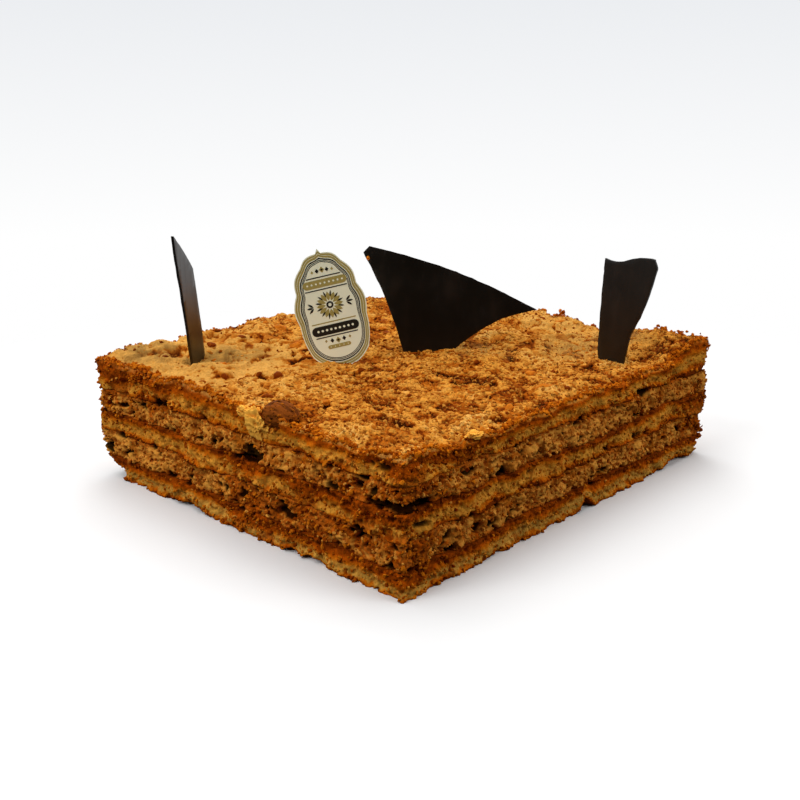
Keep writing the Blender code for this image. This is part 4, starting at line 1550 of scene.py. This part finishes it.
# Pale pieces of crumb at the rim, which are a lump beside the almond, a smaller one by it, and a flake:
# middle and size
LUMPS = in_metres((
    ((-112.4, -17.0, 53.0), (7.6, 14.0, 12.5)),
    ((-112.6, -8.6, 56.2), (5.4, 7.0, 4.4)),
    ((-71.0, -98.4, 56.4), (8.6, 5.0, 2.6)),
))

# A crumb that sticks to the centre shard: across, up
STRAY_CRUMB = (-28.6 * MM, 46.6 * MM)
STRAY_CRUMB_SIZE = 1.7 * MM


def add_bit(bm, shades, size, place, turn, shift, shade):
    """Adds a rough chip of almond to a bmesh."""
    made = bmesh.ops.create_icosphere(bm, subdivisions=3, radius=0.5)
    for vert in made["verts"]:
        vert.co *= 1 + 0.3 * wave(*vert.co, 0.45, shift) + 0.06 * wave(*vert.co, 0.12, shift)
        vert[shades] = shade + 0.25 * wave(*vert.co, 0.3, shift + 2)
    matrix = Matrix.Translation(place) @ Matrix.Rotation(turn, 4, "Z") @ Matrix.Diagonal((*size, 1))
    bmesh.ops.transform(bm, matrix=matrix, verts=made["verts"])


# The add-on's operators

class CAKE_OT_sponges(bpy.types.Operator):
    """Bakes the bottom and the middle meringue layers"""

    bl_idname = "cake.sponges"
    bl_label = "Meringue layers"

    def execute(self, context):
        form, colours = Form(context.scene.cake_sizes), context.scene.cake_colours
        sizes = form.sizes
        bottom = sponge_material(colours, "bottom_sponge", colours.base_crumb, 0.5)
        middle = sponge_material(colours, "middle_sponge", colours.crumb, 0.6)
        add_layer(
            "bottom_meringue", "sponge_bottom", bottom, form,
            lambda x, y, rim: form.base_chip(x, y) if rim else 0.0, seam_face(form, sizes.lower_cream, -1),
            sponge_relief,
        )
        add_layer(
            "middle_meringue", "sponge_middle", middle, form,
            seam_face(form, sizes.middle_sponge, 1), seam_face(form, sizes.upper_cream, -1), sponge_relief,
        )
        return {"FINISHED"}


class CAKE_OT_creams(bpy.types.Operator):
    """Spreads the two praline creams"""

    bl_idname = "cake.creams"
    bl_label = "Praline creams"

    def execute(self, context):
        form = Form(context.scene.cake_sizes)
        sizes = form.sizes
        material = cream_material(context.scene.cake_colours)
        for name, node, low, high in (
            ("lower_praline", "cream_lower", sizes.lower_cream, sizes.middle_sponge),
            ("upper_praline", "cream_upper", sizes.upper_cream, sizes.top_sponge),
        ):
            add_layer(
                name, node, material, form, seam_face(form, low, 1), seam_face(form, high, -1),
                lambda low, high: cream_relief,
            )
        return {"FINISHED"}


class CAKE_OT_top(bpy.types.Operator):
    """Bakes the top meringue layer with its cracked powdery crust"""

    bl_idname = "cake.top"
    bl_label = "Top layer"

    def execute(self, context):
        form = Form(context.scene.cake_sizes)
        add_layer(
            "top_meringue", "sponge_top", top_material(context.scene.cake_colours), form,
            seam_face(form, form.sizes.top_sponge, 1), lambda x, y, rim: form.top_height(x, y),
            lambda low, high: sponge_relief(low, high, soft_top=True), baked_top=True,
        )
        return {"FINISHED"}


class CAKE_OT_crumbs(bpy.types.Operator):
    """Scatters crumbs over the cut sides and the top"""

    bl_idname = "cake.crumbs"
    bl_label = "Crumbs"

    def execute(self, context):
        colours = context.scene.cake_colours
        sponges = [Surface(name) for name in ("bottom_meringue", "middle_meringue", "top_meringue")]
        creams = [Surface(name) for name in ("lower_praline", "upper_praline")]
        dark_crust = [0.55 * channel for channel in colours.crust]
        crust = crumb_material("crust_crumbs", dark_crust, colours.crumb_warm)
        pale = crumb_material("pale_crumbs", colours.crumb_warm, colours.crumb)
        clots = crumb_material("cream_clots", colours.cream_dark, colours.cream, 0.6)
        flakes = crumb_material("top_flakes", colours.baked, colours.powder)
        specks = crumb_material("top_specks", colours.crust_dark, colours.powder)
        for seed, name, material, slot, main, others, weight, strayed, count, largest in (
            (1, "side_crust_crumbs", crust, "sponge", sponges, creams, self.crust_weight, 0.3, 6000, 2.1),
            (2, "side_pale_crumbs", pale, "sponge", sponges, creams, self.pale_weight, 0.1, 3600, 1.5),
            (3, "side_cream_clots", clots, "cream", creams, sponges, self.cream_weight, 0.04, 5600, 2.0),
        ):
            groups = [(surface, weight(surface), (1 - strayed) / len(main)) for surface in main]
            groups += [(s, 0.1 + s.near(SMEARS), strayed / len(others)) for s in others]
            self.spread(name, material, slot, seed, groups, count, (0.4, largest))
        top = sponges[2]
        rough = 1 - 0.93 * top.dusty
        rim = np.clip(1 - top.inward / 3.5, 0, 1)
        on_flakes = rough * np.maximum(top.high, 0) ** 2 * (1 - 0.3 * rim)
        on_specks = rough * (0.3 + (1 - top.high) ** 2) + 0.02
        on_rim = rim ** 1.5 * (0.15 + top.near(BROWNED_RIM))
        self.cover("top_flakes", flakes, 4, top, on_flakes, 6500, (0.5, 2.3), 0.5)
        self.cover("top_specks", specks, 5, top, on_specks, 7000, (0.4, 1.9), 0.8)
        self.cover("rim_crumbs", crust, 6, top, on_rim, 2600, (0.5, 2.2), 0.85)
        draw = np.random.RandomState(CLUMP_SEED)
        places, normals = clump_places(draw, RIM_CLUMPS, CLUMP_CRUMBS)
        spans = crumb_sizes(draw, len(places), (0.7, 2.4))
        joined_crumbs("rim_clumps", places, normals, spans, 0.9, crust, CLUMP_SEED)
        return {"FINISHED"}

    @staticmethod
    def crust_weight(surface):
        return 0.01 + np.abs(surface.level - 0.5) ** 3 + 0.12 * surface.near(SMEARS)

    @staticmethod
    def pale_weight(surface):
        return np.maximum(0.3 - np.abs(surface.level - 0.36), 0) * (1 - 0.9 * surface.near(SMEARS))

    @staticmethod
    def cream_weight(surface):
        return 1 - 0.8 * surface.near(SMEARS)

    def spread(self, name, material, slot, seed, groups, count, sizes):
        """Crumbs on the cut sides: on each surface by its weights, and its share of the count."""
        draw = np.random.RandomState(100 + seed)
        spots = []
        for surface, weights, share in groups:
            weights = weights * surface.on_side() * (surface.depth < 1.2)
            spots.append(surface.pick(draw, weights, round(count * share)))
        places, normals = (np.concatenate(part) for part in zip(*spots))
        spans = crumb_sizes(draw, len(places), sizes)
        joined_crumbs(name, places, normals, spans, 0.85, material, seed, 0.35)

    def cover(self, name, material, seed, surface, weights, count, sizes, flat):
        """Crumbs that lie on the top."""
        draw = np.random.RandomState(200 + seed)
        places, normals = surface.pick(draw, weights * (surface.level > 0.99), count)
        spans = crumb_sizes(draw, count, sizes)
        joined_crumbs(name, places, normals, spans, flat, material, seed, 0.35, lying=True)


class CAKE_OT_almonds(bpy.types.Operator):
    """Sets the whole almond, the almond bits and the pale lump of crumb in the top"""

    bl_idname = "cake.almonds"
    bl_label = "Almonds"

    def execute(self, context):
        form, colours = Form(context.scene.cake_sizes), context.scene.cake_colours
        bm = almond_block()
        bmesh.ops.recalc_face_normals(bm, faces=bm.faces)
        almond = finish_piece("almond_whole", bm, almond_material(colours), "almond")
        self.dust(almond.data, colours)
        self.bits(form, colours)
        self.lump(colours)
        return {"FINISHED"}

    def dust(self, mesh, colours):
        """Crumbs that stick to the whole almond."""
        places = Surface.read(mesh.vertices, "co", len(mesh.vertices), 3)
        normals = Surface.read(mesh.vertex_normals, "vector", len(mesh.vertices), 3)
        draw = np.random.RandomState(ALMOND_CRUMBS_SEED)
        chosen = draw.choice(len(places), ALMOND_CRUMBS, replace=False)
        spans = crumb_sizes(draw, ALMOND_CRUMBS, (0.25, 1.5))
        material = crumb_material("almond_dust", colours.pit, colours.baked)
        joined_crumbs(
            "almond_dust", places[chosen], normals[chosen], spans, 0.5, material,
            ALMOND_CRUMBS_SEED, sunk=0.5, lying=True,
        )

    def bits(self, form, colours):
        """Pieces of almond baked into the top, and a crumb that sticks to the centre shard."""
        bm = bmesh.new()
        shades = bm.verts.layers.float.new("shade")
        draw = random.Random(BITS_SEED)
        for k, (*measures, turn, shade) in enumerate(ALMOND_BITS):
            x, y, long, wide = in_metres(measures)
            place = Vector((x, y, form.top_height(x, y) + BIT_STANDS_OUT - BIT_THICKNESS / 2))
            add_bit(bm, shades, (long, wide, BIT_THICKNESS), place, radians(turn), 1.7 * k, shade)
        for k in range(SMALL_BITS):
            x = draw.uniform(-0.92, 0.92) * form.half_length
            y = draw.uniform(-0.92, 0.92) * form.half_width
            long = draw.uniform(2.5, 5.5) * MM
            place = Vector((x, y, form.top_height(x, y) + 0.2 * MM))
            size = (long, long * draw.uniform(0.5, 0.8), 2.4 * MM)
            add_bit(bm, shades, size, place, draw.uniform(0, pi), 30 + 1.3 * k, draw.uniform(0.0, 0.8))
        place = plate_frame(CENTRE_SHARD) @ Vector((*STRAY_CRUMB, (SHARD_THICKNESS + STRAY_CRUMB_SIZE) / 2))
        add_bit(bm, shades, [STRAY_CRUMB_SIZE] * 3, place, 0.0, 2.2, 0.9)
        material = crumb_material("almond_bits", colours.crust_dark, colours.almond_bit, 0.6)
        finish_piece("almond_bits", bm, material)

    def lump(self, colours):
        """Torn pieces of pale crumb, jagged like broken sponge, painted darker where they are torn in, as
        painted shade.
        """
        bm = bmesh.new()
        shades = bm.verts.layers.float.new("shade")
        for k, (place, size) in enumerate(LUMPS):
            made = bmesh.ops.create_icosphere(bm, subdivisions=6, radius=0.5)
            for vert in made["verts"]:
                torn = abs(wave(*vert.co, 0.32, k + 0.7))
                jagged = abs(wave(*vert.co, 0.15, k + 2.7))
                swell = 0.35 * wave(*vert.co, 0.5, k)
                grain = 0.07 * wave(*vert.co, 0.06, k)
                # Painted shade: the torn and jagged parts, pushed in below, take a lower shade and so a
                # darker colour
                vert[shades] = 1.15 - 1.0 * torn - 0.6 * jagged
                vert.co *= 1.15 + swell - 0.42 * torn - 0.22 * jagged + grain
            place = Matrix.Translation(place) @ Matrix.Diagonal((*size, 1))
            bmesh.ops.transform(bm, matrix=place, verts=made["verts"])
        low, high = CAD_BOX
        for vert in bm.verts:
            vert.co.xy = held_in(vert.co.x, low[0], high[0]), held_in(vert.co.y, low[1], high[1])
        material = crumb_material("pale_lump", colours.crumb, colours.pale_lump)
        finish_piece("crumb_lump", bm, material)


class CAKE_OT_shards(bpy.types.Operator):
    """Stands the chocolate shards in the top"""

    bl_idname = "cake.shards"
    bl_label = "Chocolate shards"

    def execute(self, context):
        chocolate = chocolate_material(context.scene.cake_colours)
        shard("chocolate_left", LEFT_SHARD, chocolate, "shard_left", 0.4)
        shard("chocolate_centre", CENTRE_SHARD, chocolate, "shard_centre", 2.6)
        shard("chocolate_right", RIGHT_SHARD, chocolate, "shard_right", 5.3)
        return {"FINISHED"}


class CAKE_OT_plaque(bpy.types.Operator):
    """Stands the small printed plaque in the top"""

    bl_idname = "cake.plaque"
    bl_label = "Plaque"

    def execute(self, context):
        bm = bmesh.new()
        tones = bm.faces.layers.float.new("tone")
        face = plate(bm, plaque_outline(), -PLAQUE_THICKNESS / 2, PLAQUE_THICKNESS / 2)
        bmesh.ops.recalc_face_normals(bm, faces=bm.faces)
        for width, tone in PLAQUE_RINGS:
            face = ring(bm, tones, face, width, tone)
        face[tones] = FIELD
        print_plaque(bm, tones)
        bmesh.ops.recalc_face_normals(bm, faces=bm.faces)
        middle = Matrix.Translation((*in_metres(PLAQUE_MIDDLE), 0))
        bm.transform(plate_frame(PLAQUE) @ middle @ Matrix.Rotation(radians(PLAQUE_TILT), 4, "Z"))
        material = plaque_material(context.scene.cake_colours)
        piece = finish_piece("plaque_card", bm, material, "plaque")
        piece.data.shade_flat()
        return {"FINISHED"}


# Round lights: place and size in metres. Each has its power among the stage's properties.
LIGHTS = {
    "top_light": ((-0.1, 0.1, 1.3), 1.3),
    "left_light": ((-1.2, 0.25, 0.95), 0.9),
    "right_light": ((0.5, -1.2, 0.9), 0.9),
    "back_light": ((0.6, 0.8, 0.8), 1.0),
}
FLOOR_REACH = 6


class CAKE_OT_stage(bpy.types.Operator):
    """Sets the floor, the lights, the surroundings and the camera"""

    bl_idname = "cake.stage"
    bl_label = "Stage"

    def execute(self, context):
        look = context.scene.cake_stage
        self.floor(look)
        for name, (place, size) in LIGHTS.items():
            self.light(name, place, getattr(look, name), size)
        self.surroundings(look)
        self.camera(look)
        context.scene.view_settings.view_transform = "Standard"
        return {"FINISHED"}

    def floor(self, look):
        bm = bmesh.new()
        bmesh.ops.create_grid(bm, x_segments=2, y_segments=2, size=FLOOR_REACH)
        mesh = bpy.data.meshes.new("floor")
        bm.to_mesh(mesh)
        bm.free()
        floor = bpy.data.objects.new("floor", mesh)
        bpy.context.scene.collection.objects.link(floor)
        mesh.materials.append(floor_material(look))

    def light(self, name, place, power, size):
        lamp = bpy.data.lights.new(name, "AREA")
        lamp.energy = power
        lamp.shape = "DISK"
        lamp.size = size
        holder = bpy.data.objects.new(name, lamp)
        holder.location = place
        holder.rotation_euler = (-Vector(place)).to_track_quat("-Z", "Y").to_euler()
        bpy.context.scene.collection.objects.link(holder)

    def surroundings(self, look):
        """Pale to the camera, and for the light a soft glow that is strongest behind the cake."""
        world = bpy.data.worlds.new("surroundings")
        bpy.context.scene.world = world
        world.use_nodes = True
        world.node_tree.nodes.clear()
        nodes = Nodes(world.node_tree)
        ray = nodes.node("ShaderNodeTexCoord").outputs["Generated"]
        ahead = (cos(look.camera_yaw), sin(look.camera_yaw), 0.0)
        towards = nodes.node("ShaderNodeVectorMath", {"operation": "DOT_PRODUCT"}, {0: ray, 1: ahead})
        glow = nodes.ramp(towards.outputs["Value"], -0.7, 0.9, look.front_glow, look.back_glow)
        rise = nodes.node("ShaderNodeSeparateXYZ", None, {0: ray}).outputs["Z"]
        backdrop = nodes.blend(nodes.ramp(rise, -0.14, 0.06, kind="LINEAR"), (1, 1, 1), look.sky_colour)
        lit = nodes.node("ShaderNodeBackground", None, {"Strength": glow})
        seen = nodes.node("ShaderNodeBackground", None, {"Color": backdrop})
        either = nodes.node("ShaderNodeMixShader", None, {
            0: nodes.seen_by_camera(), 1: lit.outputs[0], 2: seen.outputs[0],
        })
        nodes.node("ShaderNodeOutputWorld", None, {0: either.outputs[0]})

    def camera(self, look):
        camera = bpy.data.objects.new("camera", bpy.data.cameras.new("camera"))
        bpy.context.scene.collection.objects.link(camera)
        camera.data.sensor_width = 36
        camera.data.lens = look.focal_ratio * camera.data.sensor_width
        camera.data.clip_start = 0.01
        camera.location = look.camera_place
        camera.rotation_euler = (pi / 2 - look.camera_pitch, 0, look.camera_yaw - pi / 2)
        bpy.context.scene.camera = camera


class CAKE_PT_panel(bpy.types.Panel):
    """Lists the steps that make the cake"""

    bl_label = "Cake"
    bl_idname = "CAKE_PT_panel"
    bl_space_type = "VIEW_3D"
    bl_region_type = "UI"
    bl_category = "Cake"

    def draw(self, context):
        for operator in OPERATORS:
            self.layout.operator(operator.bl_idname)
        for group in ("cake_sizes", "cake_colours", "cake_stage"):
            settings = getattr(context.scene, group)
            box = self.layout.box()
            for key in settings.__annotations__:
                box.prop(settings, key)


OPERATORS = (
    CAKE_OT_stage, CAKE_OT_sponges, CAKE_OT_creams, CAKE_OT_top, CAKE_OT_crumbs, CAKE_OT_almonds,
    CAKE_OT_shards, CAKE_OT_plaque,
)
GROUPS = {"cake_sizes": CakeSizes, "cake_colours": CakeColours, "cake_stage": StageLook}


def register():
    for group in GROUPS.values():
        bpy.utils.register_class(group)
    for operator in OPERATORS:
        bpy.utils.register_class(operator)
    bpy.utils.register_class(CAKE_PT_panel)
    for key, group in GROUPS.items():
        setattr(bpy.types.Scene, key, bpy.props.PointerProperty(type=group))


def unregister():
    for key in GROUPS:
        delattr(bpy.types.Scene, key)
    bpy.utils.unregister_class(CAKE_PT_panel)
    for kind in (*OPERATORS, *GROUPS.values()):
        bpy.utils.unregister_class(kind)


def main():
    register()
    for operator in OPERATORS:
        group, step = operator.bl_idname.split(".")
        getattr(getattr(bpy.ops, group), step)()
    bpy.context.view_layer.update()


if __name__ == "__main__":
    main()
